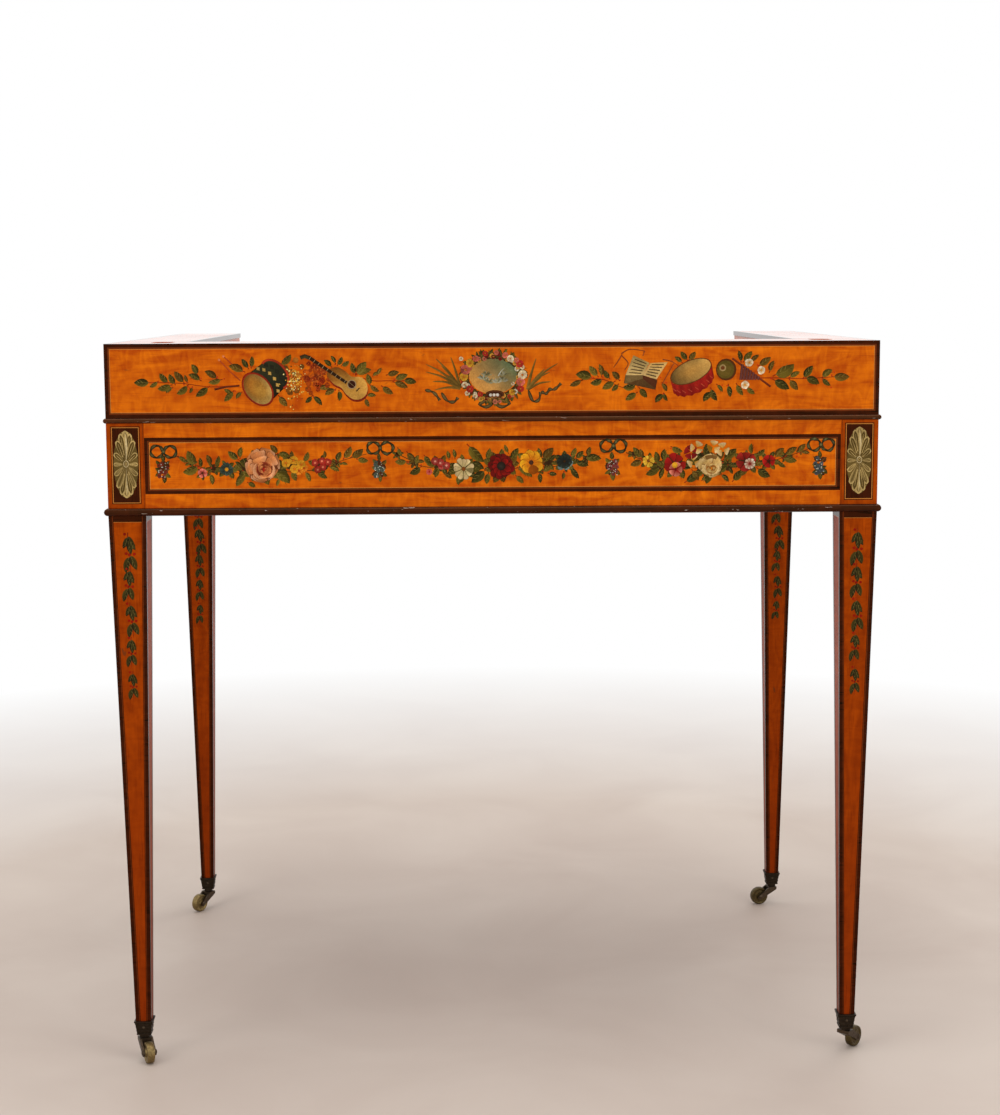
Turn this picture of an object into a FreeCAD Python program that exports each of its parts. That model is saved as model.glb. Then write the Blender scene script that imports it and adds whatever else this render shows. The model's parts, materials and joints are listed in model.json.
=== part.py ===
import FreeCAD, Part
import math
import os
import re
import Sketcher

# A carlton house desk: a writing table on four tapered legs with castors, three drawers in
# the frieze, and a low three sided gallery with small drawers round the writing surface.
# The user sits at the front, which faces -Y. The back faces +Y, +X is the user's right, and
# the origin lies on the floor under the middle of the case.

SIZES = {
    # whole desk
    "case_width": 900,
    "case_depth": 650,
    "desk_height": 781,
    "gallery_height": 86,
    # legs and castor sockets
    "leg_width": 44,
    "foot_width": 18.3,
    "toe_width": 14,
    "castor_height": 49,
    "cup_depth": 14,
    # frieze rails
    "frieze_height": 108,
    "rail_thickness": 20,
    "tenon_length": 25,
    "tenon_thickness": 8,
    "tenon_shoulder": 12,
    "front_rail_depth": 30,
    "top_rail_height": 8,
    "bottom_rail_height": 19,
    "stub_length": 10,
    "divider_width": 14,
    "centre_opening_width": 360,
    "runner_width": 20,
    "runner_height": 10,
    "guide_height": 20,
    "stop_height": 5,
    "stop_width": 30,
    "stop_depth": 12,
    "block_size": 18,
    "block_length": 60,
    # top board and its leather
    "lip_height": 6,
    "tongue_height": 10,
    "leather_thickness": 1.2,
    "leather_margin": 26,
    # mouldings
    "bead_projection": 2.8,
    "base_height": 9,
    "base_projection": 4.3,
    # gallery
    "gallery_wall": 12,
    "gallery_top_thickness": 6,
    "inner_wall": 8,
    "wing_width": 84,
    "bank_depth": 100,
    "top_overhang": 1.5,
    "slot_width": 25,
    "slot_length": 55,
    "slot_from_side": 59,
    "slot_from_back": 66,
    # drawers
    "drawer_gap": 0.5,
    "runner_gap": 0.3,
    "frieze_front_thickness": 18,
    "frieze_side_thickness": 8,
    "frieze_bottom_thickness": 5,
    "frieze_drawer_rest": 90,
    "frieze_side_drop": 9,
    "small_front_thickness": 12,
    "small_side_thickness": 5,
    "small_bottom_thickness": 3.5,
    "small_side_drop": 6,
    "small_drawer_rest": 1.5,
    "bottom_rise": 6,
    "groove_depth": 3,
    "dovetail_lap": 5,
    "cockbead_width": 2.5,
    "cockbead_projection": 1.5,
    # drawer brasses
    "plate_width": 88,
    "plate_height": 30,
    "plate_thickness": 1.2,
    "plate_corner": 9,
    "post_width": 5.5,
    "post_head_width": 8,
    "post_reach": 13,
    "handle_rise": 4,
    "post_inset": 7.5,
    "bail_span": 64,
    "bail_drop": 24,
    "bail_corner": 12,
    "bail_radius": 2.2,
    "bail_pin_radius": 1.8,
    "bail_pin_length": 12,
    "pin_clearance": 0.05,
    "centre_bail_offset": 100,
    "escutcheon_width": 20,
    "escutcheon_height": 13,
    "escutcheon_corner": 4,
    "escutcheon_rise": 23.5,
    "keyhole_width": 3,
    "keyhole_height": 7,
    "lock_width": 50,
    "lock_height": 30,
    "lock_thickness": 9,
    "knob_radius": 7,
    "knob_neck_radius": 2.6,
    "knob_reach": 15,
    "knob_head_thickness": 8,
    # castors
    "cup_rim_width": 22.5,
    "cup_rim_height": 2,
    "cup_wall": 1.4,
    "cup_bottom_width": 16,
    "cup_floor": 4,
    "neck_half": 5.5,
    "neck_height": 4,
    "swivel_pin_radius": 2.5,
    "swivel_gap": 0.3,
    "castor_trail": 20,
    "wheel_radius": 13,
    "wheel_width": 11,
    "axle_radius": 2,
    "axle_head": 0.8,
    "wheel_side_gap": 0.4,
    "wheel_room": 0.6,
    "fork_arm": 2.2,
    "fork_boss_radius": 4.4,
    "fork_crown_height": 4,
    # how far each castor stands turned from +X, in degrees
    "turn_back_left": -131,
    "turn_back_right": 112,
    "turn_front_left": 15,
    "turn_front_right": 55,
}

# Places that follow from the sizes.
WORKED_OUT = {
    "side_line": "case_width / 2",
    "back_line": "case_depth / 2",
    "leg_side": "side_line - leg_width",
    "leg_back": "back_line - leg_width",
    "leg_centre_x": "side_line - leg_width / 2",
    "leg_centre_y": "back_line - leg_width / 2",
    "rail_side": "side_line - rail_thickness",
    "rail_back": "back_line - rail_thickness",
    "waist_line": "desk_height - lip_height",
    "case_bottom": "waist_line - frieze_height",
    "opening_bottom": "case_bottom + bottom_rail_height",
    "opening_top": "waist_line - top_rail_height",
    "front_rail_back": "back_line - front_rail_depth",
    "centre_half": "centre_opening_width / 2",
    "divider_outside": "centre_half + divider_width",
    "gallery_top_line": "desk_height + gallery_height",
    "gallery_board": "gallery_top_line - gallery_top_thickness",
    "gallery_inside": "side_line - gallery_wall",
    "gallery_back_inside": "back_line - gallery_wall",
    "wing_line": "side_line - wing_width",
    "bank_front": "back_line - bank_depth",
    "wing_end": "bank_front - inner_wall",
    "bank_bay": "(2 * wing_line - 2 * inner_wall) / 3",
    "neck_bottom": "castor_height - cup_depth - cup_floor - neck_height",
    "cup_bottom": "castor_height - cup_depth - cup_floor",
    "crown_top": "neck_bottom - swivel_gap",
    "slot_width_inside": "wheel_width + 2 * wheel_side_gap",
    "fork_width": "slot_width_inside + 2 * fork_arm",
    "base_radius": "(base_height ^ 2 / 4 + base_projection ^ 2) / (2 * base_projection)",
    "bead_radius": "(lip_height ^ 2 / 4 + bead_projection ^ 2) / (2 * bead_projection)",
    "handle_height": "(opening_bottom + opening_top) / 2 + handle_rise",
}

AXES = {
    "x": FreeCAD.Vector(1, 0, 0),
    "y": FreeCAD.Vector(0, 1, 0),
    "z": FreeCAD.Vector(0, 0, 1),
}
WORD = re.compile(r"[a-z][a-z_0-9]*")
SIDES = (("left", -1), ("right", 1))
ENDS = (("front", -1), ("back", 1))
# the points of an edge in a sketch
START, END, CENTRE = 1, 2, 3
# half a side of an octagon, as a share of the radius of the circle inside it
OCTAGON_SHARE = 0.4142
# dovetails: how many at each front corner of a deep and of a small drawer, and their half
# widths as shares of the distance from one to the next
DEEP_TAILS = 3
SMALL_TAILS = 2
TAIL_ROOT_SHARE = 0.2
TAIL_TIP_SHARE = 0.32

doc = FreeCAD.newDocument("CarltonHouseDesk")
sheet = doc.addObject("Spreadsheet::Sheet", "Sizes")
for row, (name, amount) in enumerate(SIZES.items(), start=1):
    sheet.set("A%d" % row, name)
    sheet.set("B%d" % row, str(amount))
    sheet.setAlias("B%d" % row, name)
doc.recompute()

nodes = []


def formula(words):
    """Turn a sum in the words above into one that reads the sheet."""
    def refer(match):
        word = match.group(0)
        if word in WORKED_OUT:
            return "(" + formula(WORKED_OUT[word]) + ")"
        return "Sizes." + word if word in SIZES else word
    return WORD.sub(refer, str(words))


def number(words):
    """The present value of a formula."""
    answer = sheet.evalExpression(formula(words))
    return float(getattr(answer, "Value", answer))


def bind(piece, **settings):
    """Tie properties of a piece to formulas."""
    for setting, words in settings.items():
        piece.setExpression(setting, formula(words))
    return piece


def place(piece, x="0", y="0", z="0", about=None, angle="0"):
    """Tie a piece's position to formulas, and turn it by an angle about one axis."""
    if about:
        turned = FreeCAD.Rotation(AXES[about], number(angle))
        piece.Placement = FreeCAD.Placement(FreeCAD.Vector(), turned)
        if WORD.search(str(angle)):
            piece.setExpression("Placement.Rotation.Angle", formula(angle))
    for axis, words in zip("xyz", (x, y, z)):
        piece.setExpression("Placement.Base." + axis, formula(words))
    return piece


def keep(piece, label):
    """Mark a piece as a finished sub-part."""
    piece.Label = label
    nodes.append(piece)
    return piece


def board(name, across, along, up):
    """A board that fills three spans, each given as its low and high formula."""
    piece = doc.addObject("Part::Box", name)
    spans = (across, along, up)
    for side, (low, high) in zip(("Length", "Width", "Height"), spans):
        piece.setExpression(side, formula("(%s) - (%s)" % (high, low)))
    return place(piece, across[0], along[0], up[0])


def taper(name, low_width, high_width, low, high):
    """A square post whose width changes evenly from its low end to its high end."""
    piece = doc.addObject("Part::Wedge", name)
    wide, narrow = "(%s) / 2" % low_width, "(%s) / 2" % high_width
    bind(piece, Xmin="-" + wide, Xmax=wide, Zmin="-" + wide, Zmax=wide, X2min="-" + narrow,
         X2max=narrow, Z2min="-" + narrow, Z2max=narrow, Ymin="0", Ymax="(%s) - (%s)" % (high, low))
    return place(piece, z=low, about="x", angle="90")


def rod(name, radius, length, at, along="z"):
    """A round rod that starts at a point and runs along one axis."""
    piece = doc.addObject("Part::Cylinder", name)
    bind(piece, Radius=radius, Height=length)
    turns = {"x": ("y", "90"), "y": ("x", "-90"), "z": (None, "0")}
    about, angle = turns[along]
    return place(piece, *at, about=about, angle=angle)


def fuse(name, pieces):
    piece = doc.addObject("Part::MultiFuse", name)
    piece.Shapes = pieces
    piece.Refine = True
    return piece


def cut(name, base, tools):
    """A piece with others taken out of it, so that they seat in it exactly."""
    tool = tools[0]
    if len(tools) > 1:
        tool = group(name + "_tools", tools)
    piece = doc.addObject("Part::Cut", name)
    piece.Base = base
    piece.Tool = tool
    return piece


def group(name, pieces):
    """Separate solids that share one name."""
    piece = doc.addObject("Part::Compound", name)
    piece.Links = pieces
    return piece


def flip(span, sign):
    """A span as given for the right hand side, or its mirror image for the left."""
    low, high = span
    return (low, high) if sign > 0 else ("-(%s)" % high, "-(%s)" % low)


def new_body(name):
    return doc.addObject("PartDesign::Body", name)


def new_sketch(body, plane, offset="0"):
    """An empty sketch on one of the body's own planes, moved along the plane's normal."""
    drawing = body.newObject("Sketcher::SketchObject", body.Name + "_sketch")
    origin = [item for item in body.Origin.OriginFeatures if item.Role == plane][0]
    drawing.AttachmentSupport = [(origin, "")]
    drawing.MapMode = "FlatFace"
    drawing.setExpression("AttachmentOffset.Base.z", formula(offset))
    return drawing


def arc_between(start, end, radius):
    """The short arc from start to end: centre on the left if radius is positive."""
    middle = (start + end) * 0.5
    chord = end - start
    left = FreeCAD.Vector(-chord.y, chord.x, 0).normalize()
    rise = math.sqrt(max(radius ** 2 - (chord.Length / 2) ** 2, 0))
    centre = middle + left * math.copysign(rise, radius)
    first, last = (start, end) if radius > 0 else (end, start)
    angles = [math.atan2(p.y - centre.y, p.x - centre.x) for p in (first, last)]
    circle = Part.Circle(centre, AXES["z"], abs(radius))
    return Part.ArcOfCircle(circle, angles[0], angles[1])


def fix_point(drawing, edge, corner, across, up):
    """Tie one point of a sketch to two formulas."""
    for kind, words in (("DistanceX", across), ("DistanceY", up)):
        rule = Sketcher.Constraint(kind, -1, START, edge, corner, number(words))
        index = drawing.addConstraint(rule)
        drawing.setExpression("Constraints[%d]" % index, formula(words))


def outline(drawing, points):
    """A closed outline, counter-clockwise. A third value is the radius of the edge that
    leaves that point: positive for one that swells out, negative for one that is hollow."""
    corners = [FreeCAD.Vector(number(p[0]), number(p[1]), 0) for p in points]
    ends = []
    for index, point in enumerate(points):
        start, end = corners[index], corners[(index + 1) % len(points)]
        if len(point) == 2:
            edge = drawing.addGeometry(Part.LineSegment(start, end))
            ends.append((edge, START, END))
            continue
        radius = number(point[2])
        edge = drawing.addGeometry(arc_between(start, end, radius))
        ends.append((edge, START, END) if radius > 0 else (edge, END, START))
        rule = drawing.addConstraint(Sketcher.Constraint("Radius", edge, abs(radius)))
        drawing.setExpression("Constraints[%d]" % rule, formula("abs(%s)" % point[2]))
    for index, (edge, first, last) in enumerate(ends):
        after, after_first, _ = ends[(index + 1) % len(ends)]
        drawing.addConstraint(Sketcher.Constraint("Coincident", edge, last, after, after_first))
        fix_point(drawing, edge, first, points[index][0], points[index][1])
    return drawing


def open_line(drawing, points):
    """A bent line that isn't closed, for a rod to follow."""
    corners = [FreeCAD.Vector(number(p[0]), number(p[1]), 0) for p in points]
    edges = [drawing.addGeometry(Part.LineSegment(*pair)) for pair in zip(corners, corners[1:])]
    for edge, after in zip(edges, edges[1:]):
        drawing.addConstraint(Sketcher.Constraint("Coincident", edge, END, after, START))
    for edge, point in zip(edges, points):
        fix_point(drawing, edge, START, *point)
    fix_point(drawing, edges[-1], END, *points[-1])
    return drawing


def round_outline(drawing, across, up, radius):
    """A circle in a sketch."""
    centre = FreeCAD.Vector(number(across), number(up), 0)
    edge = drawing.addGeometry(Part.Circle(centre, AXES["z"], number(radius)))
    fix_point(drawing, edge, CENTRE, across, up)
    rule = drawing.addConstraint(Sketcher.Constraint("Radius", edge, number(radius)))
    drawing.setExpression("Constraints[%d]" % rule, formula(radius))
    return drawing


def square(drawing, width):
    """A square about the sketch's origin."""
    half = "(%s) / 2" % width
    low = "-" + half
    return outline(drawing, [(low, low), (half, low), (half, half), (low, half)])


def pad(body, drawing, length, both_ways=False, backwards=False):
    feature = body.newObject("PartDesign::Pad", body.Name + "_pad")
    feature.Profile = drawing
    feature.SideType = "Symmetric" if both_ways else "One side"
    feature.Reversed = backwards
    feature.setExpression("Length", formula(length))
    return feature


def pocket(body, drawing, length, both_ways=False, backwards=False):
    feature = body.newObject("PartDesign::Pocket", body.Name + "_pocket")
    feature.Profile = drawing
    feature.SideType = "Symmetric" if both_ways else "One side"
    feature.Reversed = backwards
    feature.setExpression("Length", formula(length))
    return feature


def turning(name, points):
    """A piece turned about its own Y axis: radius first, then the place along the axis."""
    body = new_body(name)
    drawing = outline(new_sketch(body, "XY_Plane"), points)
    feature = body.newObject("PartDesign::Revolution", name + "_turning")
    feature.Profile = drawing
    feature.ReferenceAxis = (drawing, ["V_Axis"])
    return body


# Frieze

def rail(name, across, along, tenon_axis):
    """A deep rail with a tenon at each end."""
    up = ("case_bottom", "waist_line")
    tenon_up = ("case_bottom + tenon_shoulder", "waist_line - tenon_shoulder")
    parts = [board(name + "_board", across, along, up)]
    long_span, thin_span = (across, along) if tenon_axis == "x" else (along, across)
    middle = "((%s) + (%s)) / 2" % thin_span
    thin = (middle + " - tenon_thickness / 2", middle + " + tenon_thickness / 2")
    tips = ((long_span[0] + " - tenon_length", long_span[0]),
            (long_span[1], long_span[1] + " + tenon_length"))
    for count, tip in enumerate(tips, start=1):
        spans = (tip, thin) if tenon_axis == "x" else (thin, tip)
        parts.append(board("%s_tenon_%d" % (name, count), spans[0], spans[1], tenon_up))
    return keep(fuse(name, parts), name)


def front_rail(name, up):
    """A shallow rail between the front legs, with stub tenons."""
    depth = ("-back_line", "-front_rail_back")
    stub_depth = ("-back_line + front_rail_depth / 4", "-front_rail_back - front_rail_depth / 4")
    span = board(name + "_board", ("-leg_side", "leg_side"), depth, up)
    stub_up = (up[0] + " + top_rail_height / 4", up[1] + " - top_rail_height / 4")
    stubs = board(name + "_stubs", ("-leg_side - stub_length", "leg_side + stub_length"),
                  stub_depth, stub_up)
    return keep(fuse(name, [span, stubs]), name)


def make_rails():
    rails = {"back": rail("back_rail", ("-leg_side", "leg_side"), ("rail_back", "back_line"), "x")}
    for side, sign in SIDES:
        across = flip(("rail_side", "side_line"), sign)
        rails[side] = rail("side_rail_" + side, across, ("-leg_back", "leg_back"), "y")
    rails["front_top"] = front_rail("front_rail_top", ("opening_top", "waist_line"))
    rails["front_bottom"] = front_rail("front_rail_bottom", ("case_bottom", "opening_bottom"))
    return rails


def make_inner_frame():
    """Dividers, runners, guides, stops and glue blocks."""
    dividers, runners, stops = [], [], []
    front_edge = "-front_rail_back"
    runner_up = ("opening_bottom - runner_height", "opening_bottom")
    guide_up = ("opening_bottom", "opening_bottom + guide_height")
    for side, sign in SIDES:
        wall = flip(("centre_half", "divider_outside"), sign)
        dividers.append(board("drawer_divider_" + side, wall, ("-back_line", front_edge),
                              ("opening_bottom", "opening_top")))
        inner = flip(("centre_half - runner_width", "divider_outside + runner_width"), sign)
        runners.append(board("inner_runner_" + side, inner, (front_edge, "rail_back"), runner_up))
        runners.append(board("inner_guide_" + side, wall, (front_edge, "rail_back"), guide_up))
        outer = flip(("leg_side - runner_width", "leg_side"), sign)
        runners.append(board("outer_runner_" + side, outer, (front_edge, "rail_back"), runner_up))
        packing = flip(("leg_side", "rail_side"), sign)
        runners.append(board("outer_guide_" + side, packing, ("-leg_back", "leg_back"),
                             ("opening_bottom - runner_height", "opening_bottom + guide_height")))
    stop_front = "-back_line + frieze_front_thickness + runner_gap"
    stop_along = (stop_front, stop_front + " + stop_depth")
    side_middle = "(divider_outside + leg_side) / 2"
    for count, middle in enumerate(("-" + side_middle, "0", side_middle)):
        for side, sign in SIDES:
            centre = "%s + %d * stop_width" % (middle, sign)
            across = (centre + " - stop_width / 2", centre + " + stop_width / 2")
            stops.append(board("drawer_stop_%d_%s" % (count, side), across, stop_along,
                               ("opening_bottom", "opening_bottom + stop_height")))
    keep(group("drawer_dividers", dividers), "drawer_dividers")
    keep(group("drawer_runners", runners), "drawer_runners")
    keep(group("drawer_stops", stops), "drawer_stops")
    blocks = []
    for count, share in enumerate((-0.6, 0, 0.6)):
        centre = "leg_side * %g" % share
        blocks.append(glue_block("glue_block_%d" % count, centre))
    keep(group("glue_blocks", blocks), "glue_blocks")


def glue_block(name, centre):
    """A three cornered block in the angle between the back rail and the top board."""
    body = new_body(name)
    tongue = "waist_line - tongue_height"
    points = [("rail_back", tongue), ("rail_back - block_size", tongue),
              ("rail_back", tongue + " - block_size")]
    drawing = outline(new_sketch(body, "YZ_Plane"), points)
    pad(body, drawing, "block_length", both_ways=True)
    return place(body, centre)


# Legs and mouldings

def make_legs(rails):
    """Square blocks in the frieze over tapered legs, mortised for the rails."""
    shafts = {}
    for end, end_sign in ENDS:
        for side, sign in SIDES:
            name = "leg_%s_%s" % (end, side)
            half = "leg_width / 2"
            head = board(name + "_head", ("-" + half, half), ("-" + half, half),
                         ("case_bottom", "waist_line"))
            shaft = taper(name + "_shaft", "foot_width", "leg_width", "castor_height",
                          "case_bottom")
            toe = taper(name + "_toe", "toe_width", "foot_width", "castor_height - cup_depth",
                        "castor_height")
            body = fuse(name + "_blank", [head, shaft, toe])
            place(body, "%d * leg_centre_x" % sign, "%d * leg_centre_y" % end_sign)
            joined = [rails[side], rails["back"]]
            if end == "front":
                joined = [rails[side], rails["front_top"], rails["front_bottom"]]
            keep(cut(name, body, joined), name)
            shafts[end, side] = body
    return shafts


def moulding(name, face, half_length, low, height, radius, projection, about_turn):
    """One mitred length of a round moulding. It is drawn along X on a face at -Y."""
    body = new_body(name)
    points = [("-(%s)" % face, low), ("-(%s)" % face, "%s + %s" % (low, height), radius)]
    pad(body, outline(new_sketch(body, "YZ_Plane"), points),
        "2 * (%s) + 2 * %s" % (half_length, projection), both_ways=True)
    reach = "%s + %s" % (face, projection)
    ends = []
    for sign in (-1, 1):
        inner = "%d * (%s)" % (sign, half_length)
        outer = "%d * (%s + %s)" % (sign, half_length, projection)
        corner = [(inner, "-(%s)" % face), (outer, "-(%s)" % reach), (outer, "-(%s)" % face)]
        ends.append(corner if sign > 0 else corner[::-1])
    for corner in ends:
        drawing = outline(new_sketch(body, "XY_Plane", low), corner)
        pocket(body, drawing, height, backwards=True)
    return place(body, about="z", angle=about_turn)


def make_mouldings():
    """The bead round the top board and the moulding round the foot of the frieze."""
    runs = (("front", "back_line", "side_line", "0"), ("right", "side_line", "back_line", "90"),
            ("back", "back_line", "side_line", "180"), ("left", "side_line", "back_line", "270"))
    kinds = (("waist_bead", "waist_line", "lip_height", "bead_radius", "bead_projection"),
             ("base_moulding", "case_bottom", "base_height", "base_radius", "base_projection"))
    for label, low, height, radius, projection in kinds:
        strips = []
        for side, face, half_length, angle in runs:
            strips.append(moulding("%s_%s" % (label, side), face, half_length, low, height,
                                   radius, projection, angle))
        keep(group(label, strips), label)


def make_desk_top():
    """The top board: a lip over the case, a tongue inside it, and the leather let in."""
    front = "-front_rail_back"
    points = [("-leg_side", front), ("leg_side", front), ("leg_side", "-leg_back"),
              ("rail_side", "-leg_back"), ("rail_side", "leg_back"), ("leg_side", "leg_back"),
              ("leg_side", "rail_back"), ("-leg_side", "rail_back"), ("-leg_side", "leg_back"),
              ("-rail_side", "leg_back"), ("-rail_side", "-leg_back"), ("-leg_side", "-leg_back")]
    body = new_body("desk_top_board")
    tongue = outline(new_sketch(body, "XY_Plane", "waist_line - tongue_height"), points)
    pad(body, tongue, "tongue_height")
    corners = [("-side_line", "-back_line"), ("side_line", "-back_line"),
               ("side_line", "back_line"), ("-side_line", "back_line")]
    pad(body, outline(new_sketch(body, "XY_Plane", "waist_line"), corners), "lip_height")
    leather = board("writing_leather", ("-wing_line + leather_margin", "wing_line - leather_margin"),
                    ("-back_line + leather_margin", "bank_front - leather_margin"),
                    ("desk_height - leather_thickness", "desk_height"))
    keep(cut("desk_top", body, [leather]), "desk_top")
    keep(leather, "writing_leather")


# Gallery

def make_gallery():
    up = ("desk_height", "gallery_board")
    keep(board("gallery_back", ("-side_line", "side_line"),
               ("gallery_back_inside", "back_line"), up), "gallery_back")
    inner_walls, partitions, tops, slots = [], [], [], []
    top_up = ("gallery_board", "gallery_top_line")
    for side, sign in SIDES:
        wall = flip(("gallery_inside", "side_line"), sign)
        keep(board("gallery_side_" + side, wall, ("-back_line", "gallery_back_inside"), up),
             "gallery_side_" + side)
        inner = flip(("wing_line", "wing_line + inner_wall"), sign)
        inner_walls.append(board("gallery_inner_wall_" + side, inner,
                                 ("-back_line", "gallery_back_inside"), up))
        cell = flip(("wing_line + inner_wall", "gallery_inside"), sign)
        partitions.append(board("well_wall_" + side, cell, ("wing_end", "bank_front"), up))
        bay = flip(("bank_bay / 2", "bank_bay / 2 + inner_wall"), sign)
        partitions.append(board("bank_partition_" + side, bay,
                                ("bank_front + top_overhang", "gallery_back_inside"), up))
        wing = flip(("wing_line - top_overhang", "side_line"), sign)
        tops.append(board("wing_top_" + side, wing, ("-back_line", "bank_front - top_overhang"),
                          top_up))
        slots.append(letter_slot("letter_slot_" + side, sign))
    bank = board("bank_top_board", ("-side_line", "side_line"),
                 ("bank_front - top_overhang", "back_line"), top_up)
    tops.append(cut("bank_top", bank, slots))
    keep(group("gallery_inner_walls", inner_walls), "gallery_inner_walls")
    keep(group("gallery_partitions", partitions), "gallery_partitions")
    keep(group("gallery_top", tops), "gallery_top")


def letter_slot(name, sign):
    """The space of a round ended slot, which runs front to back."""
    middle = "%d * (side_line - slot_from_side)" % sign
    centre = "back_line - slot_from_back"
    half = "(slot_length - slot_width) / 2"
    up = ("gallery_board", "gallery_top_line")
    parts = [board(name + "_middle", (middle + " - slot_width / 2", middle + " + slot_width / 2"),
                   (centre + " - " + half, centre + " + " + half), up)]
    for end, end_sign in ENDS:
        at = (middle, "%s + %d * %s" % (centre, end_sign, half), "gallery_board")
        parts.append(rod("%s_%s" % (name, end), "slot_width / 2", "gallery_top_thickness", at))
    return fuse(name, parts)


# Drawers

def drawer_box(name, across, front, back, up, side_thickness, bottom_thickness, tails):
    """Two dovetailed sides, a back between them and a bottom let into grooves."""
    inside = (across[0] + " + " + side_thickness, across[1] + " - " + side_thickness)
    floor = "(%s) + bottom_rise" % up[0]
    floor_top = "%s + %s" % (floor, bottom_thickness)
    bottom = board(name + "_bottom", (inside[0] + " - groove_depth", inside[1] + " + groove_depth"),
                   (front, back), (floor, floor_top))
    sides = []
    for (side, _), span in zip(SIDES, ((across[0], inside[0]), (inside[1], across[1]))):
        plank = side_plank("%s_%s_plank" % (name, side), span, front, back, up, *tails)
        sides.append(cut("%s_%s" % (name, side), plank, [bottom]))
    rear = board(name + "_back", inside, ("%s - %s" % (back, side_thickness), back),
                 (floor_top, up[1]))
    keep(group(name, [bottom] + sides + [rear]), name)
    return sides


def side_plank(name, span, front, back, up, tail_count, tail_length):
    """A drawer side whose front end is cut into dovetails that reach into the front."""
    body = new_body(name)
    pitch = "((%s) - (%s)) / %d" % (up[1], up[0], tail_count)
    tips = "%s - (%s)" % (front, tail_length)
    points = [(front, up[0]), (back, up[0]), (back, up[1]), (front, up[1])]
    for count in reversed(range(tail_count)):
        middle = "%s + %g * %s" % (up[0], count + 0.5, pitch)
        for along, share in ((front, TAIL_ROOT_SHARE), (tips, TAIL_TIP_SHARE),
                             (tips, -TAIL_TIP_SHARE), (front, -TAIL_ROOT_SHARE)):
            points.append((along, "%s + %g * %s" % (middle, share, pitch)))
    drawing = outline(new_sketch(body, "YZ_Plane", span[0]), points)
    pad(body, drawing, "(%s) - (%s)" % (span[1], span[0]))
    return body


def frieze_drawer(name, opening, handles):
    """A frieze drawer: beaded front with a lock, box, plates, posts, escutcheon and bails."""
    across = (opening[0] + " + drawer_gap", opening[1] + " - drawer_gap")
    up = ("opening_bottom + runner_gap", "opening_top - drawer_gap")
    face = "-back_line"
    inside = face + " + frieze_front_thickness"
    middle = "((%s) + (%s)) / 2" % opening
    body_up = (up[0] + " + cockbead_width", up[1] + " - cockbead_width")
    body_across = (across[0] + " + cockbead_width", across[1] + " - cockbead_width")
    plank = board(name + "_plank", body_across, (face, inside), body_up)
    bead_block = board(name + "_bead_block", across, (face + " - cockbead_projection", inside), up)
    bead_space = board(name + "_bead_space", body_across,
                       (face + " - cockbead_projection", inside), body_up)
    bead = cut(name + "_cockbead", bead_block, [bead_space])
    box_up = (up[0], up[1] + " - frieze_side_drop")
    sides = drawer_box(name + "_box", across, inside, "rail_back - frieze_drawer_rest", box_up,
                       "frieze_side_thickness", "frieze_bottom_thickness",
                       (DEEP_TAILS, "frieze_front_thickness - dovetail_lap"))
    lock = board(name + "_lock", (middle + " - lock_width / 2", middle + " + lock_width / 2"),
                 (inside + " - lock_thickness", inside),
                 (body_up[1] + " - lock_height", body_up[1]))
    key_level = "handle_height + escutcheon_rise"
    keyhole = key_slot(name + "_keyhole", middle, key_level,
                       (face, face + " + frieze_front_thickness - lock_thickness"))
    front = cut(name + "_board", plank, [lock, keyhole] + sides)
    keep(group(name + "_front", [front, cut(name + "_bead", bead, sides)]), name + "_front")
    brasses = [lock, escutcheon(name, middle, key_level)]
    for count, offset in enumerate(handles, start=1):
        centre = "%s + %s" % (middle, offset)
        brasses += handle_mounts("%s_mount_%d" % (name, count), centre)
        bail_name = name.replace("drawer", "bail")
        if len(handles) > 1:
            bail_name += "_" + SIDES[count - 1][0]
        bail(bail_name, centre)
    keep(group(name + "_brasses", brasses), name + "_brasses")


def key_slot(name, middle, level, depth):
    """The space of an upright keyhole."""
    across = (middle + " - keyhole_width / 2", middle + " + keyhole_width / 2")
    return board(name, across, depth, (level + " - keyhole_height / 2",
                                       level + " + keyhole_height / 2"))


def canted_plate(name, width, height, corner, at):
    """A thin brass plate with its corners cut off, flat on the drawer front."""
    body = new_body(name)
    across, up = "(%s / 2)" % width, "(%s / 2)" % height
    points = []
    for x, y in ((1, 1), (-1, 1), (-1, -1), (1, -1)):
        side = ("%d * (%s - %s)" % (x, across, corner), "%d * %s" % (y, up))
        end = ("%d * %s" % (x, across), "%d * (%s - %s)" % (y, up, corner))
        points += [end, side] if x * y > 0 else [side, end]
    pad(body, outline(new_sketch(body, "XZ_Plane"), points), "plate_thickness")
    return place(body, *at)


def escutcheon(name, middle, level):
    plate = canted_plate(name + "_escutcheon_plate", "escutcheon_width", "escutcheon_height",
                         "escutcheon_corner", (middle, "-back_line", level))
    hole = key_slot(name + "_escutcheon_hole", middle, level,
                    ("-back_line - plate_thickness", "-back_line"))
    return cut(name + "_escutcheon", plate, [hole])


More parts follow.
